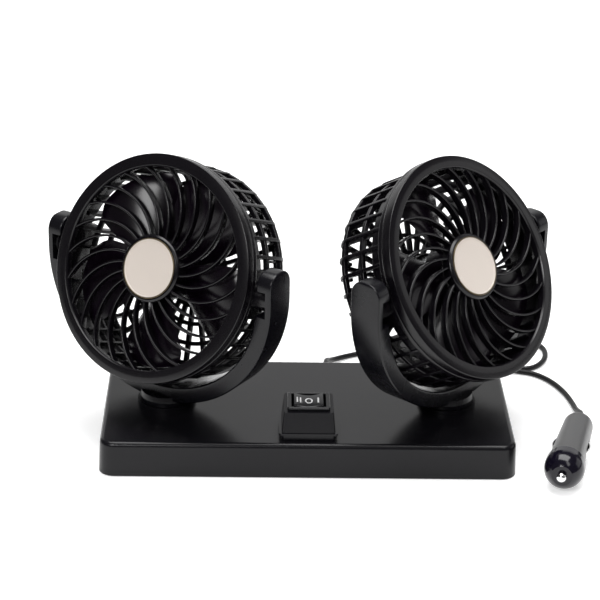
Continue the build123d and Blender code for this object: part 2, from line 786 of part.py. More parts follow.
# Impeller: cup-shaped hub over the motor, boss on the shaft and twisted blades
hub_back_z = impeller_front_z - impeller_hub_depth
shaft_top = shaft_low + motor_length + shaft_reach
blade_loft_r = blade_tip_r + blade_thickness
with BuildPart() as blade:
    for radius, chord, pitch in (
        (blade_root_r, blade_root_chord, blade_root_pitch),
        ((blade_root_r + blade_loft_r) / 2, blade_middle_chord, (blade_root_pitch + blade_tip_pitch) / 2),
        (blade_loft_r, blade_tip_chord, blade_tip_pitch),
    ):
        section_plane = Plane(origin=(radius, 0, blade_centre_z), x_dir=(0, 1, 0), z_dir=(1, 0, 0))
        camber = chord * blade_camber_share
        with BuildSketch(section_plane.rotated((0, 0, pitch))):
            with BuildLine():
                ThreePointArc((-chord / 2, 0), (0, camber), (chord / 2, 0))
                Line((chord / 2, 0), (chord / 2, -blade_thickness))
                ThreePointArc(
                    (chord / 2, -blade_thickness),
                    (0, camber - blade_thickness),
                    (-chord / 2, -blade_thickness),
                )
                Line((-chord / 2, -blade_thickness), (-chord / 2, 0))
            make_face()
    loft()
    with BuildSketch(Plane.XY.offset(-blade_tip_r / 2)):
        Circle(blade_tip_r)
    extrude(amount=blade_tip_r, mode=Mode.INTERSECT)
with BuildPart() as impeller:
    with BuildSketch(Plane.XY.offset(hub_back_z)):
        Circle(impeller_hub_r)
    extrude(amount=impeller_hub_depth)
    fillet(impeller.edges().filter_by(GeomType.CIRCLE).group_by(Axis.Z)[-1], impeller_hub_round)
    with PolarLocations(0, blade_count):
        add(blade.part)
    with BuildSketch(Plane.XY.offset(hub_back_z)):
        Circle(impeller_hub_r - impeller_hub_wall)
    extrude(amount=impeller_hub_depth - impeller_hub_wall, mode=Mode.SUBTRACT)
    with BuildSketch(Plane.XY.offset(impeller_front_z - impeller_boss_depth)):
        Circle(impeller_boss_r)
    extrude(amount=impeller_boss_depth - impeller_hub_wall / 2)
    with BuildSketch(Plane.XY.offset(impeller_front_z - impeller_boss_depth)):
        Circle(shaft_r)
    extrude(amount=shaft_top - impeller_front_z + impeller_boss_depth, mode=Mode.SUBTRACT)

yoke_pieces = {
    "yoke": yoke.part,
    "swivel_washer": swivel_washer,
    "swivel_clip": swivel_clip.part,
}
head_pieces = {
    "front_grille": front_grille.part,
    "hub_badge": hub_badge.part,
    "rear_basket": rear_basket.part,
    "tilt_washers": tilt_washers.part,
    "motor_can": motor_can.part,
    "motor_end_cap": motor_end_cap,
    "motor_bushes": motor_bushes.part,
    "motor_magnets": motor_magnets.part,
    "motor_terminals": motor_terminals.part,
    "motor_shaft": motor_shaft.part,
    "motor_armature": motor_armature.part,
}

# Both sides: the yoke turned on its swivel, and the head tilted in it
for name, side, yaw, tilt, spin in (
    ("left", -1, left_yaw, left_tilt, left_spin),
    ("right", 1, right_yaw, right_tilt, right_spin),
):
    pivot = Vector(side * swivel_x, 0, pivot_z)
    across = Vector(cos(radians(yaw)), side * sin(radians(yaw)), 0)
    level_front = Vector(side * sin(radians(yaw)), -cos(radians(yaw)), 0)
    front = level_front * cos(radians(tilt)) + Vector(0, 0, sin(radians(tilt)))
    yoke_plane = Plane(origin=pivot, x_dir=across, z_dir=(0, 0, 1))
    head_plane = Plane(origin=pivot, x_dir=across, z_dir=front)
    for piece_name, piece in yoke_pieces.items():
        save(piece.moved(yoke_plane.location), f"{name}_{piece_name}")
    for piece_name, piece in head_pieces.items():
        save(piece.moved(head_plane.location), f"{name}_{piece_name}")
    spun = impeller.part.moved(Location((0, 0, 0), (0, 0, spin)))
    save(spun.moved(head_plane.location), f"{name}_impeller")

# Plug, made along its own axis: Z to the nose, origin at the nose cap's widest ring
plug_pitch = degrees(atan((plug_nose_r - plug_body_rear_r) / plug_body_length))
plug_nose_z = (
    plug_nose_r * cos(radians(plug_pitch)) + plug_nose_band * sin(radians(plug_pitch)) + fit_gap
)
plug_forward = Vector(
    -sin(radians(plug_yaw)) * cos(radians(plug_pitch)),
    -cos(radians(plug_yaw)) * cos(radians(plug_pitch)),
    sin(radians(plug_pitch)),
)
plug_plane = Plane(
    origin=(plug_nose_x, plug_nose_y, plug_nose_z),
    x_dir=(cos(radians(plug_yaw)), -sin(radians(plug_yaw)), 0),
    z_dir=plug_forward,
)
bore_r = tip_collar_r + seat_gap
collar_front = plug_nose_cap_length - plug_wall
collar_back = collar_front - tip_collar_thickness
fuse_back = collar_back - fuse_length
spring_back = fuse_back - spring_length
contact_floor = bore_r + plug_wall / 2
contact_mid_r = plug_body_front_r + contact_bow / 3
contact_end_r = contact_mid_r - contact_bow - contact_thickness

# Plug body: tapered sleeve with a stepped bore and a slot on each side
with BuildPart() as plug_body:
    with BuildSketch(Plane.XZ):
        with BuildLine():
            rear_r = plug_body_rear_r
            rear_z = -plug_body_length
            round_share = 1 - sin(radians(45))
            Line((0, rear_z), (rear_r - plug_rear_round, rear_z))
            ThreePointArc(
                (rear_r - plug_rear_round, rear_z),
                (rear_r - plug_rear_round * round_share, rear_z + plug_rear_round * round_share),
                (rear_r, rear_z + plug_rear_round),
            )
            Polyline(
                (rear_r, rear_z + plug_rear_round),
                (plug_body_front_r, -plug_nose_band),
                (plug_cap_thread_r, -plug_nose_band),
                (plug_cap_thread_r, -plug_nose_band - plug_cap_thread_length),
                (bore_r, -plug_nose_band - plug_cap_thread_length),
                (bore_r, spring_back),
                (0, spring_back),
                (0, rear_z),
            )
        make_face()
    revolve(axis=Axis.Z)
    slot_length = contact_length + 2 * contact_slot_margin
    slot_width = contact_width + 2 * seat_gap
    for facing in (-1, 1):
        slot_origin = (facing * contact_floor, 0, -contact_centre)
        with BuildSketch(Plane(origin=slot_origin, x_dir=(0, 0, 1), z_dir=(facing, 0, 0))):
            RectangleRounded(slot_length, slot_width, contact_bow / 2)
        extrude(amount=plug_body_front_r, mode=Mode.SUBTRACT)

# Side contacts: bowed leaf springs standing out of the slots
with BuildPart() as plug_contact:
    with BuildSketch(Plane.XZ):
        with BuildLine():
            low = -contact_centre - contact_length / 2
            high = -contact_centre + contact_length / 2
            ThreePointArc((contact_end_r, low), (contact_mid_r, -contact_centre), (contact_end_r, high))
            Line((contact_end_r, high), (contact_end_r - contact_thickness, high))
            ThreePointArc(
                (contact_end_r - contact_thickness, high),
                (contact_mid_r - contact_thickness, -contact_centre),
                (contact_end_r - contact_thickness, low),
            )
            Line((contact_end_r - contact_thickness, low), (contact_end_r, low))
        make_face()
    extrude(amount=contact_width / 2, both=True)

# Nose cap: domed ring that screws into the body and holds the tip
with BuildPart() as plug_nose_cap:
    with BuildSketch(Plane.XZ):
        with BuildLine():
            front_z_cap = plug_nose_cap_length
            Line((plug_nose_r, -plug_nose_band), (plug_nose_r, 0))
            TangentArc((plug_nose_r, 0), (plug_nose_front_r, front_z_cap), tangent=(0, 1))
            Polyline(
                (plug_nose_front_r, front_z_cap),
                (tip_r + fit_gap, front_z_cap),
                (tip_r + fit_gap, collar_front),
                (bore_r, collar_front),
                (bore_r, -plug_nose_band - plug_cap_thread_length + seat_gap),
                (plug_cap_thread_r - fit_gap, -plug_nose_band - plug_cap_thread_length + seat_gap),
                (plug_cap_thread_r - fit_gap, -plug_nose_band),
                (plug_nose_r, -plug_nose_band),
            )
        make_face()
    revolve(axis=Axis.Z)

# Tip pin with its collar, domed at the front
with BuildPart() as plug_tip:
    with BuildSketch(Plane.XY.offset(collar_back)):
        Circle(tip_collar_r)
    extrude(amount=tip_collar_thickness)
    with BuildSketch(Plane.XY.offset(collar_front)):
        Circle(tip_r)
    extrude(amount=plug_wall + tip_reach)
    fillet(plug_tip.edges().filter_by(GeomType.CIRCLE).group_by(Axis.Z)[-1], tip_r * 3 / 4)

# Glass fuse behind the tip, with a metal cap at each end
with BuildPart() as plug_fuse:
    for low in (fuse_back, collar_back - fuse_cap_length):
        with BuildSketch(Plane.XY.offset(low)):
            Circle(fuse_r)
        extrude(amount=fuse_cap_length)
    with BuildSketch(Plane.XY.offset(fuse_back)):
        Circle(fuse_r - contact_thickness / 2)
    extrude(amount=fuse_length)

# Coil spring behind the fuse
spring_rise = spring_length - 2 * spring_wire_r
with BuildPart() as plug_spring:
    with BuildLine() as spring_path:
        Helix(
            pitch=spring_rise / spring_turns,
            height=spring_rise,
            radius=spring_r,
            center=(0, 0, spring_back + spring_wire_r),
        )
    with BuildSketch(Plane(origin=spring_path.line @ 0, z_dir=spring_path.line % 0)):
        Circle(spring_wire_r)
    sweep(path=spring_path.line, is_frenet=True)

# Tapered sleeve where the cord enters the plug
with BuildPart() as plug_strain_relief:
    with BuildSketch(Plane.XY.offset(-plug_body_length)):
        Circle(plug_relief_r)
    with BuildSketch(Plane.XY.offset(-plug_body_length - plug_relief_length)):
        Circle(plug_relief_tip_r)
    loft()
half_turn = Location((0, 0, 0), (0, 0, 180))
plug_pieces = {
    "plug_body": plug_body.part,
    "plug_nose_cap": plug_nose_cap.part,
    "plug_tip": plug_tip.part,
    "plug_fuse": plug_fuse.part,
    "plug_spring": plug_spring.part,
    "plug_right_contact": plug_contact.part,
    "plug_left_contact": plug_contact.part.moved(half_turn),
    "plug_strain_relief": plug_strain_relief.part,
}
for piece_name, piece in plug_pieces.items():
    save(piece.moved(plug_plane.location), piece_name)

# Cord, chosen by hand where it lies free and wound by formula in the coil
floor_z = cord_r
coil_turns = 2 * coil_layer_turns - coil_open_angle / 360
coil_low_z = coil_lift + cord_r
coil_high_z = coil_low_z + coil_pitch
coil_span = coil_pitch * coil_turns / 2
coil_inner_r = coil_mean_r - coil_span / 2


def coil_point(turn):
    """Centre of the cord after a number of turns: in on the low layer, out on the high one."""
    radius = coil_inner_r + coil_pitch * abs(turn - coil_turns / 2)
    climb = min(max(2 * (turn - coil_turns / 2) + 1 / 2, 0), 1)
    height = coil_low_z + coil_pitch * climb**2 * (3 - 2 * climb)
    x, y = polar(radius, coil_entry_angle + 360 * turn)
    return Vector(coil_x + x, coil_y + y, height)


def coil_heading(turn):
    """Direction of the cord there, from points a little before and after."""
    step = 1 / 1000
    return (coil_point(turn + step) - coil_point(turn - step)).normalized()


def biarc(start, start_heading, end, end_heading):
    """Two arcs that leave the start and meet the end along the given headings."""
    across = end - start
    both = start_heading + end_heading
    twice = 2 * (1 - start_heading.dot(end_heading))
    reach = (sqrt(across.dot(both) ** 2 + twice * across.dot(across)) - across.dot(both)) / twice
    middle = (start + end + (start_heading - end_heading) * reach) / 2
    TangentArc(start, middle, tangent=start_heading)
    TangentArc(end, middle, tangent=-end_heading)


coil_steps = 4 * 2 * coil_layer_turns
turns = [coil_turns * step / coil_steps for step in range(coil_steps + 1)]
coil_start = coil_point(0) - coil_heading(0) * cord_d
coil_end = coil_point(coil_turns) + coil_heading(coil_turns) * cord_d
with BuildPart() as cord_coil:
    with BuildLine() as coil_path:
        Line(coil_start, coil_point(0))
        for turn, next_turn in zip(turns, turns[1:]):
            biarc(coil_point(turn), coil_heading(turn), coil_point(next_turn), coil_heading(next_turn))
        Line(coil_point(coil_turns), coil_end)
    with BuildSketch(Plane(origin=coil_start, z_dir=coil_heading(0))):
        Circle(cord_r)
    sweep(path=coil_path.line)
save(cord_coil.part, "cord_coil")

# Least gap of the coil to itself, on points an eighth of a turn apart or more
samples = [coil_point(coil_turns * step / 720) for step in range(721)]
apart = round(720 / coil_turns / 2)
least = min(
    (samples[j] - samples[i]).length
    for i in range(721)
    for j in range(i + apart, 721)
)
print("coil least gap to itself", round(least - cord_d, 3), "length", round(coil_path.wire().length, 1))

# Tie round the coil's section, where the turns lie evenly on both layers
tie_turn_angle = coil_entry_angle + 360 * (coil_turns / 2 + 1 / 2)
tie_half = coil_pitch * (coil_layer_turns - 1) / 2 + cord_r + tie_side_gap
tie_middle_r = coil_inner_r + coil_pitch * coil_layer_turns / 2
tie_low = coil_lift - tie_gap - tie_thickness
tie_high = coil_high_z + cord_r + tie_gap + tie_thickness
tie_out = Vector(*polar(1, tie_turn_angle), 0)
tie_plane = Plane(
    origin=Vector(coil_x, coil_y, (tie_low + tie_high) / 2) + tie_out * tie_middle_r,
    x_dir=tie_out,
    z_dir=tie_out.cross(Vector(0, 0, 1)),
)
with BuildPart() as cord_tie:
    with BuildSketch(tie_plane):
        RectangleRounded(2 * (tie_half + tie_thickness), tie_high - tie_low, cord_r)
        RectangleRounded(
            2 * tie_half, tie_high - tie_low - 2 * tie_thickness, cord_r - tie_thickness, mode=Mode.SUBTRACT
        )
    extrude(amount=tie_width / 2, both=True)
save(cord_tie.part, "cord_tie")


def cord_tube(name, points):
    """Sweep a free stretch of cord along straight runs joined by arcs as large as they fit."""
    points = [Vector(*point) for point in points]
    radii = []
    for before, corner, after in zip(points, points[1:], points[2:]):
        turn = radians((corner - before).get_angle(after - corner))
        run = min((corner - before).length, (after - corner).length)
        radii.append(cord_arc_share * run / tan(turn / 2))
    with BuildPart() as tube:
        with BuildLine() as route:
            FilletPolyline(points, radius=radii)
        with BuildSketch(Plane(origin=points[0], z_dir=points[1] - points[0])):
            Circle(cord_r)
        sweep(path=route.line)
    length = route.wire().length
    print(name, "length", round(length, 1), "radii", [round(radius, 1) for radius in radii])
    print(name, "volume over section times length", round(tube.part.volume / (pi * cord_r**2 * length), 4))
    save(tube.part, name)


def on_route(shares):
    """Corner points of a free stretch, each as shares of the route's span above the floor."""
    return [(x * route_span, y * route_span, rise * route_span + floor_z) for x, y, rise in shares]


relief_end = Vector(cord_exit_x, base_back_y + relief_length, cord_exit_z)
lead_start = [relief_end, relief_end + Vector(0, cord_exit_run, 0)]
lead_finish = [coil_start - coil_heading(0) * cord_join_run, coil_start]
cord_tube("cord_lead", lead_start + on_route(lead_shares) + lead_finish)

plug_relief_end = plug_plane.origin - plug_forward * (plug_body_length + plug_relief_length)
tail_start = [coil_end, coil_end + coil_heading(coil_turns) * cord_join_run]
tail_finish = [plug_relief_end - plug_forward * plug_exit_run, plug_relief_end]
cord_tube("cord_tail", tail_start + on_route(tail_shares) + tail_finish)
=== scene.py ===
import math

import bmesh
import bpy
from mathutils import Matrix, Vector


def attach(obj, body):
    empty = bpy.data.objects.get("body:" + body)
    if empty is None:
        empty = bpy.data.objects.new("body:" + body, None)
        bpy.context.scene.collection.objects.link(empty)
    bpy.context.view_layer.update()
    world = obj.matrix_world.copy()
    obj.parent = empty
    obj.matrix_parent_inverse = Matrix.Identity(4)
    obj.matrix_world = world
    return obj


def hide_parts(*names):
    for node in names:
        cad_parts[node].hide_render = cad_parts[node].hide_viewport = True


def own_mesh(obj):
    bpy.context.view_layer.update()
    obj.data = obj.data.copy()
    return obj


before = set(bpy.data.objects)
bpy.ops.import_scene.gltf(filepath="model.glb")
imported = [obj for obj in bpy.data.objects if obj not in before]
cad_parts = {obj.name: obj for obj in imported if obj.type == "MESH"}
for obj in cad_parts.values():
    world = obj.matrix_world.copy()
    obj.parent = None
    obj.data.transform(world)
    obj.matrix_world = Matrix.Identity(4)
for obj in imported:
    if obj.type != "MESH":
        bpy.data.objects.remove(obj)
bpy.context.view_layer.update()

# Camera: a long lens a metre away, 24 degrees above the table and turned a little, so that
# the heads, the base and the plug fall where the photograph has them.
sensor_width = 0.036
focal_pixels = 2092
photo_width = 600
camera_place = Vector((-0.029, -0.970, 0.508))
camera_down, camera_turn, camera_roll = (math.radians(a) for a in (24.0, 1.44, 1.22))
forward = Vector((
    math.sin(camera_turn) * math.cos(camera_down),
    math.cos(camera_turn) * math.cos(camera_down),
    -math.sin(camera_down),
))
level_right = Vector((math.cos(camera_turn), -math.sin(camera_turn), 0))
level_up = level_right.cross(forward)
right = level_right * math.cos(camera_roll) + level_up * math.sin(camera_roll)
up = level_up * math.cos(camera_roll) - level_right * math.sin(camera_roll)
lens = bpy.data.cameras.new("long_lens")
lens.sensor_width = sensor_width * 1000
lens.lens = focal_pixels / photo_width * sensor_width * 1000
lens.clip_start = 0.05
camera = bpy.data.objects.new("camera", lens)
camera_axes = Matrix((right, up, -forward)).transposed().to_4x4()
camera.matrix_world = Matrix.Translation(camera_place) @ camera_axes
bpy.context.collection.objects.link(camera)
bpy.context.scene.camera = camera
bpy.context.scene.view_settings.view_transform = "Standard"

# Table and light: a pale table top in a dim room, a soft box overhead, one in front on each
# side, and broad lit screens behind and at the right. The table is lifted to white only where
# the camera, a gloss or a clear piece shows it.


class Shade:
    """One socket of a material's node tree; arithmetic on it adds Math nodes."""

    def __init__(self, tree, socket=None):
        self.tree = tree
        self.socket = socket

    def node(self, kind, settings=None, output=0, **inputs):
        """Add a node: its settings first, then the values or links of its sockets."""
        made = self.tree.nodes.new("ShaderNode" + kind)
        for name, value in (settings or {}).items():
            setattr(made, name, value)
        for name, value in inputs.items():
            key = int(name[1:]) if name[1:].isdigit() else name.replace("_", " ")
            if isinstance(value, Shade):
                self.tree.links.new(value.socket, made.inputs[key])
            else:
                made.inputs[key].default_value = value
        return Shade(self.tree, made.outputs[output] if made.outputs else None)

    def maths(self, operation, *values):
        """Add a Math node that works on sockets and numbers."""
        places = {f"i{index}": value for index, value in enumerate(values)}
        return self.node("Math", {"operation": operation}, **places)

    def __add__(self, other):
        return self.maths("ADD", self, other)

    def __sub__(self, other):
        return self.maths("SUBTRACT", self, other)

    def __rsub__(self, other):
        return self.maths("SUBTRACT", other, self)

    def __mul__(self, other):
        return self.maths("MULTIPLY", self, other)

    __radd__ = __add__
    __rmul__ = __mul__


def bare_material(name):
    """A material with nothing in its node tree yet, and the shade that fills it."""
    material = bpy.data.materials.new(name)
    material.use_nodes = True
    material.node_tree.nodes.clear()
    return material, Shade(material.node_tree)


table_size, table_tone, table_lift = 8.0, 0.80, 0.50
room_strength = 0.12
table_mesh = bpy.data.meshes.new("table_top")
table_mesh.from_pydata(
    [(x * table_size / 2, y * table_size / 2, 0) for x, y in ((-1, -1), (1, -1), (1, 1), (-1, 1))],
    [], [(0, 1, 2, 3)],
)
table = bpy.data.objects.new("table_top", table_mesh)
bpy.context.collection.objects.link(table)
table_white, shade = bare_material("table_white")
seen = shade.node("LightPath", output="Is Camera Ray")
glossed = shade.node("LightPath", output="Is Glossy Ray")
passed = shade.node("LightPath", output="Is Transmission Ray")
matt = shade.node("BsdfDiffuse", Color=(table_tone, table_tone, table_tone, 1))
lift = (seen + glossed + passed) * table_lift
glow = shade.node("Emission", Color=(1, 1, 1, 1), Strength=lift)
shade.node("OutputMaterial", Surface=shade.node("AddShader", i0=matt, i1=glow))
table_mesh.materials.append(table_white)
room = bpy.data.worlds.new("pale_room")
room.use_nodes = True
room_light = room.node_tree.nodes["Background"].inputs
room_light["Color"].default_value = (1, 1, 1, 1)
room_light["Strength"].default_value = room_strength
bpy.context.scene.world = room
for name, place, aim, size, power in (
    ("overhead_box", (0.05, 0.10, 1.05), (0, 0, 0.05), (1.0, 0.6), 13.0),
    ("front_box", (-0.45, -1.00, 0.95), (0, 0, 0.08), (0.5, 0.4), 9.0),
    ("right_box", (0.45, -0.60, 1.05), (0, 0, 0.08), (0.3, 0.5), 1.5),
    ("back_screen", (0.0, 1.70, 0.80), (0, 0, 0.05), (3.2, 1.3), 11.5),
    ("side_screen", (1.60, 0.25, 0.55), (0, 0, 0.10), (1.1, 0.7), 2.2),
):
    lamp = bpy.data.lights.new(name, "AREA")
    lamp.shape = "RECTANGLE"
    lamp.size, lamp.size_y = size
    lamp.energy = power
    holder = bpy.data.objects.new(name, lamp)
    holder.location = place
    holder.rotation_euler = (Vector(aim) - Vector(place)).to_track_quat("-Z", "Y").to_euler()
    bpy.context.collection.objects.link(holder)

# Base: cover and bottom plate are fine-grained satin ABS, the cover snapped down over the
# plate and screwed from below; the pad is adhesive foam.


def clouded(shade, cloud, colour, darker, lighter):
    """A colour that drifts between a darker and a lighter tone of itself."""
    return shade.node(
        "Mix", {"data_type": "RGBA"}, output=2, i0=cloud,
        i6=(*(c * darker for c in colour), 1), i7=(*(min(1, c * lighter) for c in colour), 1),
    )


def moulded(name, colour, roughness, grain_size, grain_depth, specular=0.5, coat=0.0, mottle=0.12):
    """Moulded plastic or rubber: fine grain, slightly uneven gloss and colour."""
    material, shade = bare_material(name)
    place = shade.node("TexCoord", output="Object")
    grain = shade.node("TexNoise", Vector=place, Scale=1 / grain_size, Detail=2.0, Roughness=0.6)
    cloud = shade.node("TexNoise", Vector=place, Scale=60.0, Detail=3.0, Roughness=0.55)
    uneven = (cloud - 0.5) * 2
    surface = shade.node(
        "BsdfPrincipled",
        Base_Color=clouded(shade, cloud, colour, 1 - mottle, 1 + mottle),
        Roughness=roughness + uneven * 0.03,
        Specular_IOR_Level=specular,
        Coat_Weight=coat,
        Coat_Roughness=0.08,
        Normal=shade.node("Bump", Height=grain, Strength=1.0, Distance=grain_depth),
    )
    shade.node("OutputMaterial", Surface=surface)
    return material


def dress(node, material):
    """Give a CAD node its finish."""
    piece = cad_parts[node]
    piece.data.materials.clear()
    piece.data.materials.append(material)


base_satin = moulded("base_satin", (0.0050, 0.0047, 0.0062), 0.25, 0.00035, 0.000022, specular=0.24)
pad_foam = moulded("pad_foam", (0.02, 0.02, 0.02), 0.9, 0.0006, 0.0002, specular=0.2)
dress("base_cover", base_satin)
dress("base_plate", base_satin)
dress("adhesive_pad", pad_foam)

# Base screws: five zinc-plated self-tapping screws, driven up through the bottom plate's
# counterbores into the bosses of the cover.


def metal(name, colour, roughness, streak=1.0, grain_size=0.0004, grain_depth=0.000004):
    """Bare or plated metal, drawn or turned: fine marks, stretched where streak is above 1."""
    material, shade = bare_material(name)
    place = shade.node("TexCoord", output="Object")
    drawn = shade.node("Mapping", i0=place, i3=(1, 1, 1 / streak))
    grain = shade.node("TexNoise", Vector=drawn, Scale=1 / grain_size, Detail=3.0, Roughness=0.6)
    cloud = shade.node("TexNoise", Vector=place, Scale=180.0, Detail=3.0, Roughness=0.5)
    surface = shade.node(
        "BsdfPrincipled",
        Base_Color=clouded(shade, cloud, colour, 0.86, 1.08),
        Metallic=1.0,
        Roughness=roughness + (cloud - 0.5) * 0.16,
        Normal=shade.node("Bump", Height=grain, Strength=1.0, Distance=grain_depth),
    )
    shade.node("OutputMaterial", Surface=surface)
    return material


screw_zinc = metal("screw_zinc", (0.62, 0.63, 0.65), 0.28)
dress("base_screws", screw_zinc)

# Switch: a glossy nylon body whose bezel sits on the pod; under it are three tin-plated brass
# tabs and the white ceramic resistor of the low speed.
switch_gloss = moulded(
    "switch_gloss", (0.004, 0.004, 0.005), 0.20, 0.0008, 0.000004, specular=0.35, coat=0.05,
)
tab_brass = metal("tab_brass", (0.78, 0.58, 0.28), 0.30)
resistor_white = moulded("resistor_white", (0.72, 0.70, 0.64), 0.7, 0.0005, 0.00004, specular=0.3)
dress("switch_body", switch_gloss)
dress("switch_terminals", tab_brass)
dress("speed_resistor", resistor_white)

# Rocker: glossy moulded nylon, dished on top, with pad-printed marks for the two speeds and off;
# its stub pins snap into the switch body. From here on lengths are in millimetres, and a placed
# piece is scaled to metres.
mm = 0.001
sharp_angle = math.radians(35)
mark_white = moulded(
    "mark_white", (0.50, 0.50, 0.50), 0.45, 0.0003, 0.000006, specular=0.35, mottle=0.05,
)
rocker_seat, rocker_slope = Vector((0, -32.4, 33.9)), math.radians(6)
rocker_place = Matrix.Translation(rocker_seat * mm) @ Matrix.Rotation(rocker_slope, 4, "X")
rocker_place = rocker_place @ Matrix.Scale(mm, 4)
rocker_swing, rocker_pin, rocker_half = 8.3, -1.5, 5.6
rocker_top, rocker_foot, rocker_dish = 2.6, -6.0, 1.3
rocker_edge = ((-1.0, 0.5), (-0.985, 0.2), (-0.95, 0.05), (-0.9, 0))
side_marks, dish_marks = 12, 10
pin_round, pin_start, pin_end = 1.2, 5.0, 6.1
stroke_width, stroke_proud, stroke_sunk = 0.75, 0.04, -0.2
stroke_half, stroke_places = 2.3, (-5.7, -4.1, 4.8)
oval_middle, oval_along, oval_across, oval_marks = 0.1, 1.6, 2.0, 48


def ring_point(radius, degrees, height=0.0):
    """A point at a radius and an angle round the Z axis."""
    turn = math.radians(degrees)
    return Vector((radius * math.cos(turn), radius * math.sin(turn), height))


def turned(mesh, outline, steps=128, span=360.0, start=0.0, spin=Matrix.Identity(4)):
    """Add a closed outline of (radius, height) points turned about Z, all round or in part."""
    whole = span >= 360
    marks = steps if whole else steps + 1
    rings = []
    for radius, height in outline:
        if radius < 1e-6:
            rings.append([mesh.verts.new(spin @ Vector((0, 0, height)))] * marks)
            continue
        rings.append([
            mesh.verts.new(spin @ ring_point(radius, start + span * step / steps, height))
            for step in range(marks)
        ])
    for low, high in zip(rings, rings[1:] + rings[:1]):
        for step in range(steps):
            ahead = (step + 1) % marks
            corners = [low[step], low[ahead], high[ahead], high[step]]
            corners = [c for i, c in enumerate(corners) if c not in corners[:i]]
            if len(corners) > 2:
                mesh.faces.new(corners)
    if not whole:
        mesh.faces.new([ring[0] for ring in rings])
        mesh.faces.new([ring[-1] for ring in reversed(rings)])


def skinned(mesh, rings, closed=False):
    """Add faces between rings of points, with both ends capped or the last joined to the first."""
    rings = [[mesh.verts.new(point) for point in ring] for ring in rings]
    for low, high in zip(rings, rings[1:] + (rings[:1] if closed else [])):
        for index in range(len(low)):
            ahead = (index + 1) % len(low)
            mesh.faces.new((low[index], low[ahead], high[ahead], high[index]))
    if not closed:
        mesh.faces.new(rings[0][::-1])
        mesh.faces.new(rings[-1])


def finished(name, mesh, material, place):
    """Turn worked mesh into a smooth-shaded object with creases kept sharp."""
    bmesh.ops.recalc_face_normals(mesh, faces=mesh.faces)
    mesh.transform(place)
    data = bpy.data.meshes.new(name)
    mesh.to_mesh(data)
    mesh.free()
    data.shade_smooth()
    data.set_sharp_from_angle(angle=sharp_angle)
    data.materials.append(material)
    piece = bpy.data.objects.new(name, data)
    bpy.context.collection.objects.link(piece)
    return piece


def rocker_reach(height):
    """How far along its length the rocker reaches at a height."""
    return math.sqrt(rocker_swing ** 2 - (height - rocker_pin) ** 2)


top_reach = rocker_reach(rocker_top)
dish_round = (top_reach ** 2 + rocker_dish ** 2) / (2 * rocker_dish)


def dish_height(along):
    """Height of the dished top at a place along the rocker."""
    return rocker_top - rocker_dish + dish_round - math.sqrt(dish_round ** 2 - along ** 2)


def rocker_outline(inset):
    """The side view, anticlockwise, drawn in from the true outline by an inset."""
    rise = rocker_top - rocker_foot
    heights = [rocker_foot + rise * step / side_marks for step in range(side_marks + 1)]
    right_end = [(rocker_reach(h), h) for h in heights]
    alongs = [top_reach * (1 - step / dish_marks) for step in range(1, 2 * dish_marks)]
    top = [(along, dish_height(along)) for along in alongs]
    line = right_end + top + [(-x, h) for x, h in reversed(right_end)]
    points = []
    for index, (x, y) in enumerate(line):
        ahead = Vector(line[(index + 1) % len(line)]) - Vector(line[index - 1])
        ahead.normalize()
        points.append(Vector((x, y)) + Vector((-ahead.y, ahead.x)) * inset)
    return points


def stroke(mesh, points, closed):
    """A printed line that follows the dished top, barely proud of it."""
    rings = []
    for index, point in enumerate(points):
        before = points[index - 1] if closed or index else point
        after = points[(index + 1) % len(points)] if closed or index + 1 < len(points) else point
        ahead = (after - before).normalized()
        side = Vector((-ahead.y, ahead.x)) * stroke_width / 2
        one, other = point + side, point - side
        corners = (
            (one, stroke_proud), (other, stroke_proud), (other, stroke_sunk), (one, stroke_sunk),
        )
        rings.append([(*edge, dish_height(edge.x) + rise) for edge, rise in corners])
    skinned(mesh, rings, closed)


far_edge = [(-across, inset) for across, inset in reversed(rocker_edge)]
pin_outline = [(0, pin_start), (pin_round, pin_start), (pin_round, pin_end), (0, pin_end)]
mesh = bmesh.new()
skinned(mesh, [
    [(x, rocker_half * across, z) for x, z in rocker_outline(inset)]
    for across, inset in (*rocker_edge, *far_edge)
])
for facing in (-90, 90):
    outward = Matrix.Rotation(math.radians(-facing), 4, "X")
    turned(mesh, pin_outline, steps=32, spin=Matrix.Translation((0, 0, rocker_pin)) @ outward)
rocker = finished("rocker", mesh, switch_gloss, rocker_place)
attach(rocker, "rocker")
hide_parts("switch_rocker")
mesh = bmesh.new()
for along in stroke_places:
    stroke(mesh, [Vector((along, y)) for y in (-stroke_half, 0, stroke_half)], False)
oval_turns = [2 * math.pi * step / oval_marks for step in range(oval_marks)]
stroke(mesh, [
    Vector((oval_middle + oval_along * math.cos(turn), oval_across * math.sin(turn)))
    for turn in oval_turns
], True)
marks = finished("rocker_marks", mesh, mark_white, rocker_place)
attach(marks, "rocker")

# Rear baskets: one ABS moulding each, with the motor's cup and two trunnions. Thirty-six slats
# run straight back from the flange and round the knee; two hoops tie them, and straight bars
# cross the rear face to the motor's seat.
head_black = moulded(
    "head_black", (0.0030, 0.0024, 0.0036), 0.24, 0.0007, 0.000006, specular=0.34, mottle=0.2,
)
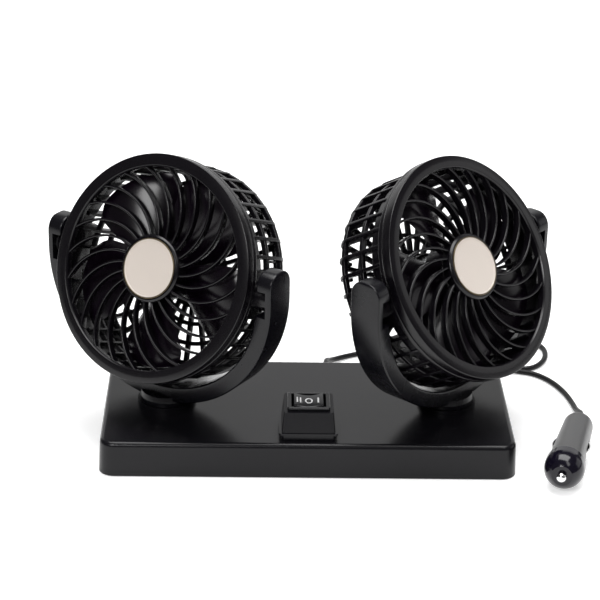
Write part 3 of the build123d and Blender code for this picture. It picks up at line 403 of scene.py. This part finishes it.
# Each head's way along the base, its turn on the swivel and its tip up, in degrees. Its own
# frame has X along the tilt axis, Y up and Z out of the grille.
head_sides = {"left": (-1, 34.0, 22.0), "right": (1, 47.0, 30.5)}
swivel_reach, pivot_height = 72.4, 91.9
rim_radius, rim_front, seam_radius = 57.5, 9.4, 56.6
flange_back, lip_outer, lip_inner, lip_front = 6.4, 55.65, 53.9, 11.2
band_inner, band_outer, band_back = 53.0, 54.3, -1.5
basket_reach, basket_knee, basket_back = 55.0, 9.0, -30.0
slat_count, slat_starts, slat_end, knee_steps = 36, (8, -6), 0.8, 8
slat_inner_half, slat_outer_half, slat_deep, slat_proud = 0.8, 1.0, 3.2, 1.1
rear_bar_count, rear_bar_radii = 26, (17.5, 32, 47.2)
rear_bar_half, rear_bar_deep, rear_bar_proud = 1.1, 1.8, 1.0
hoop_inner, hoop_outer, hoop_half, hoop_heights = 51.8, 54.5, 1.1, (-9.5, -22.6)
rear_ring_radii, rear_ring_width = (48.2, 38.0, 27.8), 2.2
rear_ring_back, rear_ring_front = -29.9, -28.1
seat_radius, cup_radius, cup_bore = 18.6, 14.0, 12.25
seat_back, seat_front, cup_front = -29.7, -28.0, -15.0
trunnion_pad_inner, trunnion_pad_outer, trunnion_pad_half, trunnion_pad_span = 52.8, 55.2, 6.6, 26
trunnion_round, trunnion_root, trunnion_end = 6.5, 53.4, 65.1
stub_round, stub_end = 3.0, 67.8


def head_place(side):
    """Where a head's own frame lies, in metres."""
    sign, turn, tip = head_sides[side]
    turn, tip = math.radians(turn), math.radians(tip)
    across = Vector((math.cos(turn), sign * math.sin(turn), 0))
    level = Vector((sign * math.sin(turn), -math.cos(turn), 0))
    front = level * math.cos(tip) + Vector((0, 0, math.sin(tip)))
    columns = Matrix((across, front.cross(across), front)).transposed().to_4x4()
    pivot = Vector((sign * swivel_reach, 0, pivot_height))
    return Matrix.Translation(pivot * mm) @ columns @ Matrix.Scale(mm, 4)


def rounded(corners, bend=18.0):
    """Points of an outline whose corners (across, along, radius) are rounded by short arcs."""
    points = []
    count = len(corners)
    for index, (x, y, radius) in enumerate(corners):
        here = Vector((x, y))
        if radius == 0:
            points.append(here)
            continue
        back = (Vector(corners[index - 1][:2]) - here).normalized()
        ahead = (Vector(corners[(index + 1) % count][:2]) - here).normalized()
        half = back.angle(ahead) / 2
        centre = here + (back + ahead).normalized() * (radius / math.sin(half))
        first = here + back * (radius / math.tan(half)) - centre
        sweep = math.pi - 2 * half
        side = 1 if back.x * ahead.y - back.y * ahead.x < 0 else -1
        steps = max(2, math.ceil(math.degrees(sweep) / bend))
        for step in range(steps + 1):
            turn = side * sweep * step / steps
            points.append(centre + Vector((
                first.x * math.cos(turn) - first.y * math.sin(turn),
                first.x * math.sin(turn) + first.y * math.cos(turn),
            )))
    return points


def bar(mesh, stations, outline):
    """Add a bar: an outline of (side, out) points set at each station (point, side, out)."""
    skinned(mesh, [
        [point + side * a + out * b for a, b in outline] for point, side, out in stations
    ])


def spun_bars(mesh, count, stations, outline):
    """Add a bar and its copies, evenly spaced round the head's axis."""
    for index in range(count):
        spin = Matrix.Rotation(math.radians(360 * index / count), 3, "Z")
        bar(mesh, [[spin @ vector for vector in station] for station in stations], outline)


flange_outline = rounded([
    (rim_radius, flange_back, 0.6), (rim_radius, 9.1, 0.45), (seam_radius, rim_front, 0),
    (lip_outer, rim_front, 0.2), (lip_outer, lip_front, 0.2), (lip_inner, lip_front, 0.2),
    (lip_inner, 9.0, 0.2), (band_inner, 8.0, 0.2), (band_inner, band_back, 0.4),
    (band_outer, band_back, 0.4), (band_outer, flange_back, 0),
])
slat_outline = rounded([
    (-slat_inner_half, -slat_deep, 0.3), (slat_inner_half, -slat_deep, 0.3),
    (slat_outer_half, slat_proud, 0.4), (-slat_outer_half, slat_proud, 0.4),
], bend=35)
rear_bar_outline = rounded([
    (-rear_bar_half, -rear_bar_deep, 0.25), (rear_bar_half, -rear_bar_deep, 0.25),
    (rear_bar_half, rear_bar_proud, 0.5), (-rear_bar_half, rear_bar_proud, 0.5),
], bend=35)
cup_outline = rounded([
    (0, seat_back, 0), (cup_radius, seat_back, 0.3), (14.6, basket_back, 0.3),
    (18.2, basket_back, 0.5), (seat_radius, seat_front, 0.2), (cup_radius, seat_front, 0.2),
    (cup_radius, cup_front, 0.4), (cup_bore, cup_front, 0.4), (cup_bore, seat_front, 0),
    (0, seat_front, 0),
])
trunnion_pad_outline = rounded([
    (trunnion_pad_inner, -trunnion_pad_half, 0.4), (trunnion_pad_outer, -trunnion_pad_half, 0.5),
    (trunnion_pad_outer, trunnion_pad_half, 0.1), (trunnion_pad_inner, trunnion_pad_half, 0.1),
])
trunnion_outline = rounded([
    (0, trunnion_root, 0), (trunnion_round, trunnion_root, 0),
    (trunnion_round, trunnion_end, 0.5), (stub_round, trunnion_end, 0),
    (stub_round, stub_end, 0.3), (0, stub_end, 0),
])


def slat_line():
    """A slat's stations before it is spun: its middle line, its side and its outward way."""
    inner = basket_reach - basket_knee
    side, outward, rearward = Vector((0, -1, 0)), Vector((1, 0, 0)), Vector((0, 0, -1))
    stations = [(Vector((basket_reach - slat_proud, 0, z)), side, outward) for z in slat_starts]
    for step in range(knee_steps + 1):
        turn = math.pi / 2 * step / knee_steps
        out = Vector((math.cos(turn), 0, -math.sin(turn)))
        knee = Vector((inner, 0, basket_back + basket_knee))
        stations.append((knee + out * (basket_knee - slat_proud), side, out))
    stations.append((Vector((inner - slat_end, 0, basket_back + slat_proud)), side, rearward))
    return stations


def basket_mesh():
    """The whole moulding in the head's frame."""
    mesh = bmesh.new()
    turned(mesh, flange_outline)
    spun_bars(mesh, slat_count, slat_line(), slat_outline)
    spun_bars(mesh, rear_bar_count, [
        (Vector((radius, 0, basket_back + rear_bar_proud)), Vector((0, -1, 0)), Vector((0, 0, -1)))
        for radius in rear_bar_radii
    ], rear_bar_outline)
    for height in hoop_heights:
        low, high = height - hoop_half, height + hoop_half
        turned(mesh, rounded([
            (hoop_inner, low, 0.3), (hoop_outer, low, 0.4),
            (hoop_outer, high, 0.4), (hoop_inner, high, 0.3),
        ], bend=35))
    for outer in rear_ring_radii:
        inner = outer - rear_ring_width
        turned(mesh, rounded([
            (inner, rear_ring_back, 0.4), (outer, rear_ring_back, 0.4),
            (outer, rear_ring_front, 0.3), (inner, rear_ring_front, 0.3),
        ], bend=35))
    turned(mesh, cup_outline, steps=96)
    for facing in (0, 180):
        turned(
            mesh, trunnion_pad_outline, steps=12,
            span=trunnion_pad_span, start=facing - trunnion_pad_span / 2,
        )
        outward = Matrix.Rotation(math.radians(facing), 4, "Z")
        outward = outward @ Matrix.Rotation(math.pi / 2, 4, "Y")
        turned(mesh, trunnion_outline, steps=48, spin=outward)
    return mesh


for side in head_sides:
    basket = finished(side + "_basket", basket_mesh(), head_black, head_place(side))
    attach(basket, side + "_head")
    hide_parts(side + "_rear_basket")

# Motors: a drawn steel can with a nylon end cap, sintered bushes, ferrite magnets, a wound
# armature and its shaft. Each pushes into the basket's cup and drives the impeller.
can_steel = metal("can_steel", (0.56, 0.57, 0.58), 0.24, streak=6.0)
shaft_steel = metal("shaft_steel", (0.60, 0.60, 0.61), 0.16, streak=10.0)
bush_bronze = metal("bush_bronze", (0.50, 0.33, 0.16), 0.42)
winding_copper = metal(
    "winding_copper", (0.72, 0.30, 0.14), 0.30, grain_size=0.0003, grain_depth=0.00004,
)
magnet_grey = moulded("magnet_grey", (0.05, 0.05, 0.055), 0.62, 0.0004, 0.00003, specular=0.4)
cap_nylon = moulded("cap_nylon", (0.55, 0.54, 0.50), 0.5, 0.0005, 0.00001)
for side in head_sides:
    for node, material in (
        ("motor_can", can_steel), ("motor_end_cap", cap_nylon), ("motor_bushes", bush_bronze),
        ("motor_magnets", magnet_grey), ("motor_terminals", tab_brass),
        ("motor_shaft", shaft_steel), ("motor_armature", winding_copper),
    ):
        dress(side + "_" + node, material)

# Impellers: one glossy moulding each, a cup-shaped hub over the motor with twisted blades
# whose leading edges are rounded; it presses on the motor's shaft.
impeller_black = moulded(
    "impeller_black", (0.0034, 0.0014, 0.0042), 0.22, 0.0010, 0.000006, specular=0.30, mottle=0.25,
)
hub_cup_radius, hub_cup_bore = 15.0, 13.4
hub_cup_front, hub_cup_floor, hub_cup_back = 8.0, 6.4, -5.0
impeller_hub_outline = rounded([
    (0, hub_cup_front, 0), (hub_cup_radius, hub_cup_front, 2.2),
    (hub_cup_radius, hub_cup_back, 0.4), (hub_cup_bore, hub_cup_back, 0.4),
    (hub_cup_bore, hub_cup_floor, 1.0), (0, hub_cup_floor, 0),
])
blade_count, blade_phase = 5, {"left": 57.0, "right": 24.0}
blade_stations, blade_marks = 14, 12
blade_root, blade_tip, blade_height = 14.2, 49.3, -0.5
root_chord, tip_chord, chord_belly = 21.0, 50.0, 12.0
root_pitch, tip_pitch = 34.0, 14.0
tip_rounding, tip_loss = 0.2, 0.2
blade_camber, blade_half_thick, edge_power = 0.10, 0.75, 6


def blade_section(share):
    """Points round a blade at a share of its way from root to tip."""
    radius = blade_root + (blade_tip - blade_root) * share
    chord = root_chord + (tip_chord - root_chord) * share + chord_belly * share * (1 - share)
    past = share - (1 - tip_rounding)
    if past > 0:
        chord *= 1 - tip_loss * (past / tip_rounding) ** 2
    pitch = math.radians(root_pitch - (root_pitch - tip_pitch) * share)
    points = []
    for face, marks in ((1, range(blade_marks + 1)), (-1, range(blade_marks - 1, 0, -1))):
        for mark in marks:
            along = (mark / blade_marks - 0.5) * chord
            from_middle = 2 * mark / blade_marks - 1
            bow = blade_camber * chord * (1 - from_middle ** 2)
            swell = math.sqrt(max(0.0, 1 - abs(from_middle) ** edge_power))
            above = bow + blade_half_thick * swell * face
            sideways = along * math.cos(pitch) - above * math.sin(pitch)
            height = along * math.sin(pitch) + above * math.cos(pitch)
            turn = sideways / radius
            points.append(Vector((
                radius * math.cos(turn), radius * math.sin(turn),
                blade_height - blade_half_thick + height,
            )))
    return points


def impeller_mesh(phase):
    """Hub and blades in the head's frame, the first blade at an angle in degrees."""
    mesh = bmesh.new()
    turned(mesh, impeller_hub_outline, steps=96)
    sections = [blade_section(step / blade_stations) for step in range(blade_stations + 1)]
    for blade in range(blade_count):
        spin = Matrix.Rotation(math.radians(phase + 360 * blade / blade_count), 3, "Z")
        skinned(mesh, [[spin @ point for point in section] for section in sections])
    return mesh


for side in head_sides:
    impeller = finished(
        side + "_blades", impeller_mesh(blade_phase[side]), impeller_black, head_place(side),
    )
    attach(impeller, side + "_impeller")
    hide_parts(side + "_impeller")

# Front grilles: one ABS moulding each, a flat ring with an inner lip, 24 fins that sweep out
# from the hub, and the hub boss; its skirt laps over the basket's rim.
grille_front, fin_set_back = 15.2, 1.3
fin_count, fin_steps = 24, 22
fin_root, fin_tip, fin_lean, fin_sweep = 16.1, 51.7, 7.4, 34.0
fin_back_half, fin_front_half, fin_deep = 0.42, 0.62, 4.2
ring_inner, ring_lip_outer, ring_lip_back, skirt_inner = 51.0, 52.4, 10.8, 55.7
boss_radius, boss_bore, boss_floor, recess_floor = 17.1, 15.1, 12.2, 14.7
fin_outline = rounded([
    (-fin_back_half, -fin_deep, 0.12), (fin_back_half, -fin_deep, 0.12),
    (fin_front_half, 0, 0.5), (-fin_front_half, 0, 0.5),
], bend=30)
ring_outline = rounded([
    (seam_radius, rim_front, 0), (rim_radius, 9.75, 0.4), (rim_radius, 14.5, 0.5),
    (54.5, 15.0, 5.0), (51.6, grille_front, 0.4), (ring_inner, 14.2, 0.3),
    (ring_inner, ring_lip_back, 0.35), (ring_lip_outer, ring_lip_back, 0.35),
    (ring_lip_outer, 13.2, 0.3), (skirt_inner, 12.7, 0.3), (skirt_inner, rim_front, 0.2),
])
hub_outline = rounded([
    (boss_bore, 9.9, 0.2), (16.9, 9.7, 0.3), (boss_radius, 14.6, 0.9), (16.0, 15.6, 0.5),
    (14.85, 15.5, 0.15), (14.75, recess_floor, 0), (0, recess_floor, 0), (0, boss_floor, 0),
    (boss_bore, boss_floor, 0.4),
])


def arc_from(start, heading, end, steps):
    """Points of the level arc that leaves start along heading and reaches end."""
    normal = Vector((-heading.y, heading.x, 0))
    across = end - start
    radius = across.length_squared / (2 * across.dot(normal))
    centre = start + normal * radius
    first = start - centre
    sweep = 2 * math.atan2(across.dot(normal), across.dot(heading))
    return [
        centre + Matrix.Rotation(sweep * step / steps, 3, "Z") @ first for step in range(steps + 1)
    ]


def grille_mesh():
    """The whole moulding in the head's frame."""
    mesh = bmesh.new()
    turned(mesh, ring_outline)
    turned(mesh, hub_outline, steps=96)
    start, end = ring_point(fin_root, 0), ring_point(fin_tip, fin_sweep)
    line = arc_from(start, ring_point(1, fin_lean), end, fin_steps)
    stations = []
    for index, point in enumerate(line):
        ahead = line[min(index + 1, fin_steps)] - line[max(index - 1, 0)]
        ahead.normalize()
        here = Vector((point.x, point.y, grille_front - fin_set_back))
        stations.append((here, Vector((-ahead.y, ahead.x, 0)), Vector((0, 0, 1))))
    spun_bars(mesh, fin_count, stations, fin_outline)
    return mesh


for side in head_sides:
    grille = finished(side + "_grille", grille_mesh(), head_black, head_place(side))
    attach(grille, side + "_head")
    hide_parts(side + "_front_grille")

# Badges: a thin pressed disc in plain champagne lacquer with a darker rolled rim, glued into
# the recess of each hub.
badge_satin = moulded(
    "badge_satin", (0.62, 0.555, 0.50), 0.34, 0.0002, 0.000006, specular=0.5, mottle=0.03,
)
rim_bronze = metal("rim_bronze", (0.11, 0.085, 0.05), 0.35)
badge_radius, badge_front = 14.7, 15.85
badge_rim_inner, badge_rim_outer, badge_rim_back = 14.55, 15.2, 15.4
badge_outline = rounded([
    (0, recess_floor, 0), (badge_radius, recess_floor, 0), (badge_radius, badge_front, 0.25),
    (14.1, 15.95, 0.2), (13.9, 15.7, 0.1), (0, badge_front, 0),
])
badge_rim_outline = rounded([
    (badge_rim_inner, badge_rim_back, 0), (badge_rim_outer, badge_rim_back, 0),
    (badge_rim_outer, badge_front, 0.12), (14.9, 16.0, 0.12), (badge_rim_inner, 15.9, 0.1),
], bend=35)
for side in head_sides:
    mesh = bmesh.new()
    turned(mesh, badge_outline, steps=96)
    badge = finished(side + "_badge", mesh, badge_satin, head_place(side))
    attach(badge, side + "_head")
    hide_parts(side + "_hub_badge")
    mesh = bmesh.new()
    turned(mesh, badge_rim_outline, steps=96)
    rim = finished(side + "_badge_rim", mesh, rim_bronze, head_place(side))
    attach(rim, side + "_head")

# Yokes: a U-shaped arm in ABS with a round foot and a hollow spigot, one moulding each. The
# arms' ends are arched, and each has a pocket for a trunnion, open to the front and inside.
# Dark nylon washers take the friction, and a zinc-plated clip holds the spigot in the cover.
yoke_black = moulded(
    "yoke_black", (0.0028, 0.0026, 0.0042), 0.27, 0.0007, 0.000005, specular=0.30, mottle=0.2,
)
washer_nylon = moulded("washer_nylon", (0.012, 0.012, 0.013), 0.45, 0.0005, 0.000008)
yoke_inner, yoke_outer, yoke_half_width = 60.6, 69.0, 9.0
arm_top, arch_round, shoulder_round = 15.6, 7.6, 1.0
inner_edge_round, outer_edge_round, round_limit = 1.0, 0.8, 0.45
arm_shares = (0, 0.004, 0.03, 0.07, 0.12, 0.18, 0.26, 0.36, 0.49, 0.75)
bow_steps = 72
pocket_floor, pocket_mouth, pocket_round, pocket_depth, pocket_steps = 66.0, -14.0, 6.9, 9.0, 24
foot_radius, foot_top, foot_bottom = 14.0, -66.0, -71.2
spigot_radius, spigot_bore, bore_top, spigot_end = 6.0, 3.0, -70.0, -78.6
groove_radius, groove_top, groove_bottom = 5.1, -76.4, -77.4
foot_outline = rounded([
    (0, foot_top, 0), (13.2, foot_top, 0), (foot_radius, -68.6, 1.0),
    (foot_radius, foot_bottom, 0.4), (spigot_radius, foot_bottom, 0.2),
    (spigot_radius, groove_top, 0), (groove_radius, groove_top, 0),
    (groove_radius, groove_bottom, 0), (spigot_radius, groove_bottom, 0.2),
    (spigot_radius, spigot_end, 0.3), (spigot_bore, spigot_end, 0.2),
    (spigot_bore, bore_top, 0), (0, bore_top, 0),
])


def yoke_place(side):
    """Where a yoke's own frame lies, in metres: X along the tilt axis, -Y to the front."""
    sign, turn, _ = head_sides[side]
    turn = math.radians(turn)
    across = Vector((math.cos(turn), sign * math.sin(turn), 0))
    columns = Matrix((across, Vector((0, 0, 1)).cross(across), (0, 0, 1))).transposed().to_4x4()
    pivot = Vector((sign * swivel_reach, 0, pivot_height))
    return Matrix.Translation(pivot * mm) @ columns @ Matrix.Scale(mm, 4)


def drop(radius, past):
    """How far a round of that radius has curved in, a given way past its start."""
    past = min(max(past, 0.0), radius)
    return radius - math.sqrt(radius * radius - past * past)


def arm_section(height):
    """The arm's section of (out, along) points, drawn in by its rounds near the arm's top."""
    half = yoke_half_width - drop(arch_round, height - (arm_top - arch_round))
    outer = yoke_outer - drop(shoulder_round, height - (arm_top - shoulder_round))
    inner = yoke_inner + drop(inner_edge_round, height - (arm_top - inner_edge_round))
    reach = round_limit * min(2 * half, outer - inner)
    inner_round, outer_round = min(inner_edge_round, reach), min(outer_edge_round, reach)
    return rounded([
        (inner, -half, inner_round), (outer, -half, outer_round),
        (outer, half, outer_round), (inner, half, inner_round),
    ], bend=22)


def yoke_mesh():
    """Both arms and the bow under them, as one swept section."""
    mesh = bmesh.new()
    heights = [arm_top * (1 - share) for share in arm_shares]
    rings = [[Vector((r, y, height)) for r, y in arm_section(height)] for height in heights]
    for step in range(bow_steps + 1):
        spin = Matrix.Rotation(math.radians(180.0 * step / bow_steps), 3, "Y")
        rings.append([spin @ Vector((r, y, 0)) for r, y in arm_section(0)])
    rings += [
        [Vector((-r, y, height)) for r, y in arm_section(height)] for height in reversed(heights)
    ]
    skinned(mesh, rings)
    return mesh


def pocket_mesh(sign):
    """The block that hollows one arm's pocket."""
    mesh = bmesh.new()
    turns = [math.pi * step / pocket_steps for step in range(1, pocket_steps)]
    outline = [(pocket_mouth, pocket_round), (0, pocket_round)]
    outline += [(pocket_round * math.sin(turn), pocket_round * math.cos(turn)) for turn in turns]
    outline += [(0, -pocket_round), (pocket_mouth, -pocket_round)]
    skinned(mesh, [
        [(sign * out, y, z) for y, z in outline]
        for out in (pocket_floor, pocket_floor - pocket_depth)
    ])
    return mesh


def combined(piece, tool, operation):
    """Cut a second piece out of a first, or join it on, and keep plain mesh."""
    step = piece.modifiers.new("combine", "BOOLEAN")
    step.operation = operation
    step.solver = "EXACT"
    step.object = tool
    bpy.context.view_layer.update()
    ready = piece.evaluated_get(bpy.context.evaluated_depsgraph_get())
    data = bpy.data.meshes.new_from_object(ready)
    data.name = piece.name
    piece.modifiers.clear()
    piece.data = data
    bpy.data.objects.remove(tool)
    data.shade_smooth()
    data.set_sharp_from_angle(angle=sharp_angle)


for side in head_sides:
    place = yoke_place(side)
    yoke = finished(side + "_arm", yoke_mesh(), yoke_black, place)
    for sign in (-1, 1):
        combined(yoke, finished("pocket", pocket_mesh(sign), yoke_black, place), "DIFFERENCE")
    foot = bmesh.new()
    turned(foot, foot_outline, steps=96)
    combined(yoke, finished("foot", foot, yoke_black, place), "UNION")
    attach(yoke, side + "_yoke")
    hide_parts(side + "_yoke")
    dress(side + "_tilt_washers", washer_nylon)
    dress(side + "_swivel_washer", washer_nylon)
    dress(side + "_swivel_clip", screw_zinc)

# Plug: a glossy phenolic body with a screwed nose cap, which holds the chromed tip on its fuse
# and spring; a bright leaf spring stands out of a slot on each side.
plug_gloss = moulded(
    "plug_gloss", (0.034, 0.034, 0.035), 0.34, 0.0007, 0.000008, specular=0.55, coat=0.05,
)
nose_gloss = moulded(
    "nose_gloss", (0.004, 0.003, 0.008), 0.15, 0.0010, 0.000003, specular=0.34, coat=0.10,
)
tip_chrome = metal("tip_chrome", (0.80, 0.80, 0.80), 0.10)
leaf_steel = metal("leaf_steel", (0.72, 0.72, 0.72), 0.18, streak=4.0)
fuse_clear = moulded("fuse_clear", (0.70, 0.74, 0.74), 0.08, 0.0010, 0.000002, coat=0.5)
for node, material in (
    ("plug_body", plug_gloss), ("plug_nose_cap", nose_gloss), ("plug_tip", tip_chrome),
    ("plug_fuse", fuse_clear), ("plug_left_contact", leaf_steel),
    ("plug_right_contact", leaf_steel),
):
    dress(node, material)

# Plug's spring: six turns of plated wire behind the fuse.
# The plug lies on its widest ring and its sleeve, so its nose points up a little.
widest_ring_round, sleeve_round, ring_to_sleeve = 10.2, 7.7, 55
widest_ring_back, table_gap = 4, 0.05
nose_right, nose_front = 127.5, -54.9
plug_pitch = math.atan((widest_ring_round - sleeve_round) / ring_to_sleeve)
plug_turn = math.radians(15.5)
plug_forward = Vector((
    -math.sin(plug_turn) * math.cos(plug_pitch),
    -math.cos(plug_turn) * math.cos(plug_pitch),
    math.sin(plug_pitch),
))
plug_nose = Vector((
    nose_right, nose_front,
    widest_ring_round * math.cos(plug_pitch) + widest_ring_back * math.sin(plug_pitch) + table_gap,
))
plug_across = Vector((math.cos(plug_turn), -math.sin(plug_turn), 0))
plug_axes = Matrix((plug_across, plug_forward.cross(plug_across), plug_forward))
plug_place = Matrix.Translation(plug_nose * mm) @ plug_axes.transposed().to_4x4()
plug_place = plug_place @ Matrix.Scale(mm, 4)
spring_back, spring_long, spring_turns, spring_round, wire_round = -24.1, 10.0, 6, 2.6, 0.35
turn_marks, wire_marks = 24, 10
spring_marks = spring_turns * turn_marks
wire_rise = spring_long - 2 * wire_round
stations = []
for step in range(spring_marks + 1):
    out = ring_point(1, 360 / turn_marks * step)
    rise = spring_back + wire_round + wire_rise * step / spring_marks
    stations.append((out * spring_round + Vector((0, 0, rise)), Vector((0, 0, 1)), out))
wire_turns = [2 * math.pi * step / wire_marks for step in range(wire_marks)]
mesh = bmesh.new()
bar(mesh, stations, [
    (wire_round * math.cos(turn), wire_round * math.sin(turn)) for turn in wire_turns
])
spring = finished("spring", mesh, leaf_steel, plug_place)
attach(spring, "base")
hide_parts("plug_spring")
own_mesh(spring)

# Cord: limp two-core lead in black PVC, 3 mm across, from the base's back wall round to a tied
# coil behind the right head, and on along the table to the plug.
cord_satin = moulded("cord_satin", (0.0045, 0.0042, 0.0050), 0.42, 0.0005, 0.00001, specular=0.28)
for node in ("plug_strain_relief", "cord_strain_relief", "cord_tie"):
    dress(node, cord_satin)
cord_radius = 0.0015
cord_points = [
    (12.0, 63.3, 8.5), (12.0, 70.8, 8.5), (14.8, 82.0, 2.7), (23.5, 90.0, 1.5),
    (35.0, 95.5, 1.5), (46.5, 104.0, 1.5), (60.0, 115.5, 1.5), (77.0, 120.5, 1.5),
    (95.0, 119.0, 1.5), (112.0, 121.0, 1.5), (127.5, 116.0, 1.5), (137.5, 105.0, 1.5),
    (137.0, 91.0, 1.5), (131.5, 80.5, 1.5), (125.2, 76.2, 1.5), (118.2, 76.6, 1.5),
    (112.0, 81.2, 1.5), (107.5, 88.5, 1.8),
]
coil_centre, coil_middle, coil_pitch = (75.0, 88.0), 17.5, 3.45
coil_start, coil_turns = 40, 10 - 100 / 360
coil_low, coil_marks = 2.45, 14
coil_inner = coil_middle - coil_pitch * coil_turns / 4
coil_lead_far, coil_lead_near, small_turn = 11, 3, 0.001
sleeve_far, sleeve_end = 69, 61


def coil_at(turn):
    """Where the cord lies after a number of turns: in on the low layer, out on the high one."""
    radius = coil_inner + coil_pitch * abs(turn - coil_turns / 2)
    climb = min(max(2 * (turn - coil_turns / 2) + 0.5, 0), 1)
    angle = math.radians(coil_start + 360 * turn)
    height = coil_low + coil_pitch * climb * climb * (3 - 2 * climb)
    return Vector((
        coil_centre[0] + radius * math.cos(angle),
        coil_centre[1] + radius * math.sin(angle),
        height,
    ))


coil_steps = round(coil_marks * coil_turns)
enter = (coil_at(small_turn) - coil_at(0)).normalized()
leave = (coil_at(coil_turns) - coil_at(coil_turns - small_turn)).normalized()
cord_points += [coil_at(0) - enter * coil_lead_far, coil_at(0) - enter * coil_lead_near]
cord_points += [coil_at(coil_turns * step / coil_steps) for step in range(coil_steps + 1)]
cord_points += [
    coil_at(coil_turns) + leave * coil_lead_near, coil_at(coil_turns) + leave * coil_lead_far,
]
cord_points += [
    (105.5, 73.5, 4.5), (113.0, 74.2, 2.3), (120.0, 72.6, 1.5), (127.2, 70.6, 1.5),
    (133.8, 64.0, 1.5), (138.8, 55.0, 1.5), (142.2, 45.0, 1.5), (144.2, 34.5, 1.5),
    (144.8, 23.5, 2.6),
    plug_nose - plug_forward * sleeve_far, plug_nose - plug_forward * sleeve_end,
]
cord_curve = bpy.data.curves.new("cord", "CURVE")
cord_curve.dimensions = "3D"
line = cord_curve.splines.new("NURBS")
line.points.add(len(cord_points) - 1)
for point, place in zip(line.points, cord_points):
    point.co = (*(c * mm for c in place), 1)
line.use_endpoint_u = True
line.order_u = 3
line.resolution_u = 6
cord_curve.bevel_depth = cord_radius
cord_curve.bevel_resolution = 4
cord_curve.use_fill_caps = True
cord = bpy.data.objects.new("cord", cord_curve)
bpy.context.collection.objects.link(cord)
cord_curve.materials.append(cord_satin)
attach(cord, "base")
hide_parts("cord_lead", "cord_coil", "cord_tail")
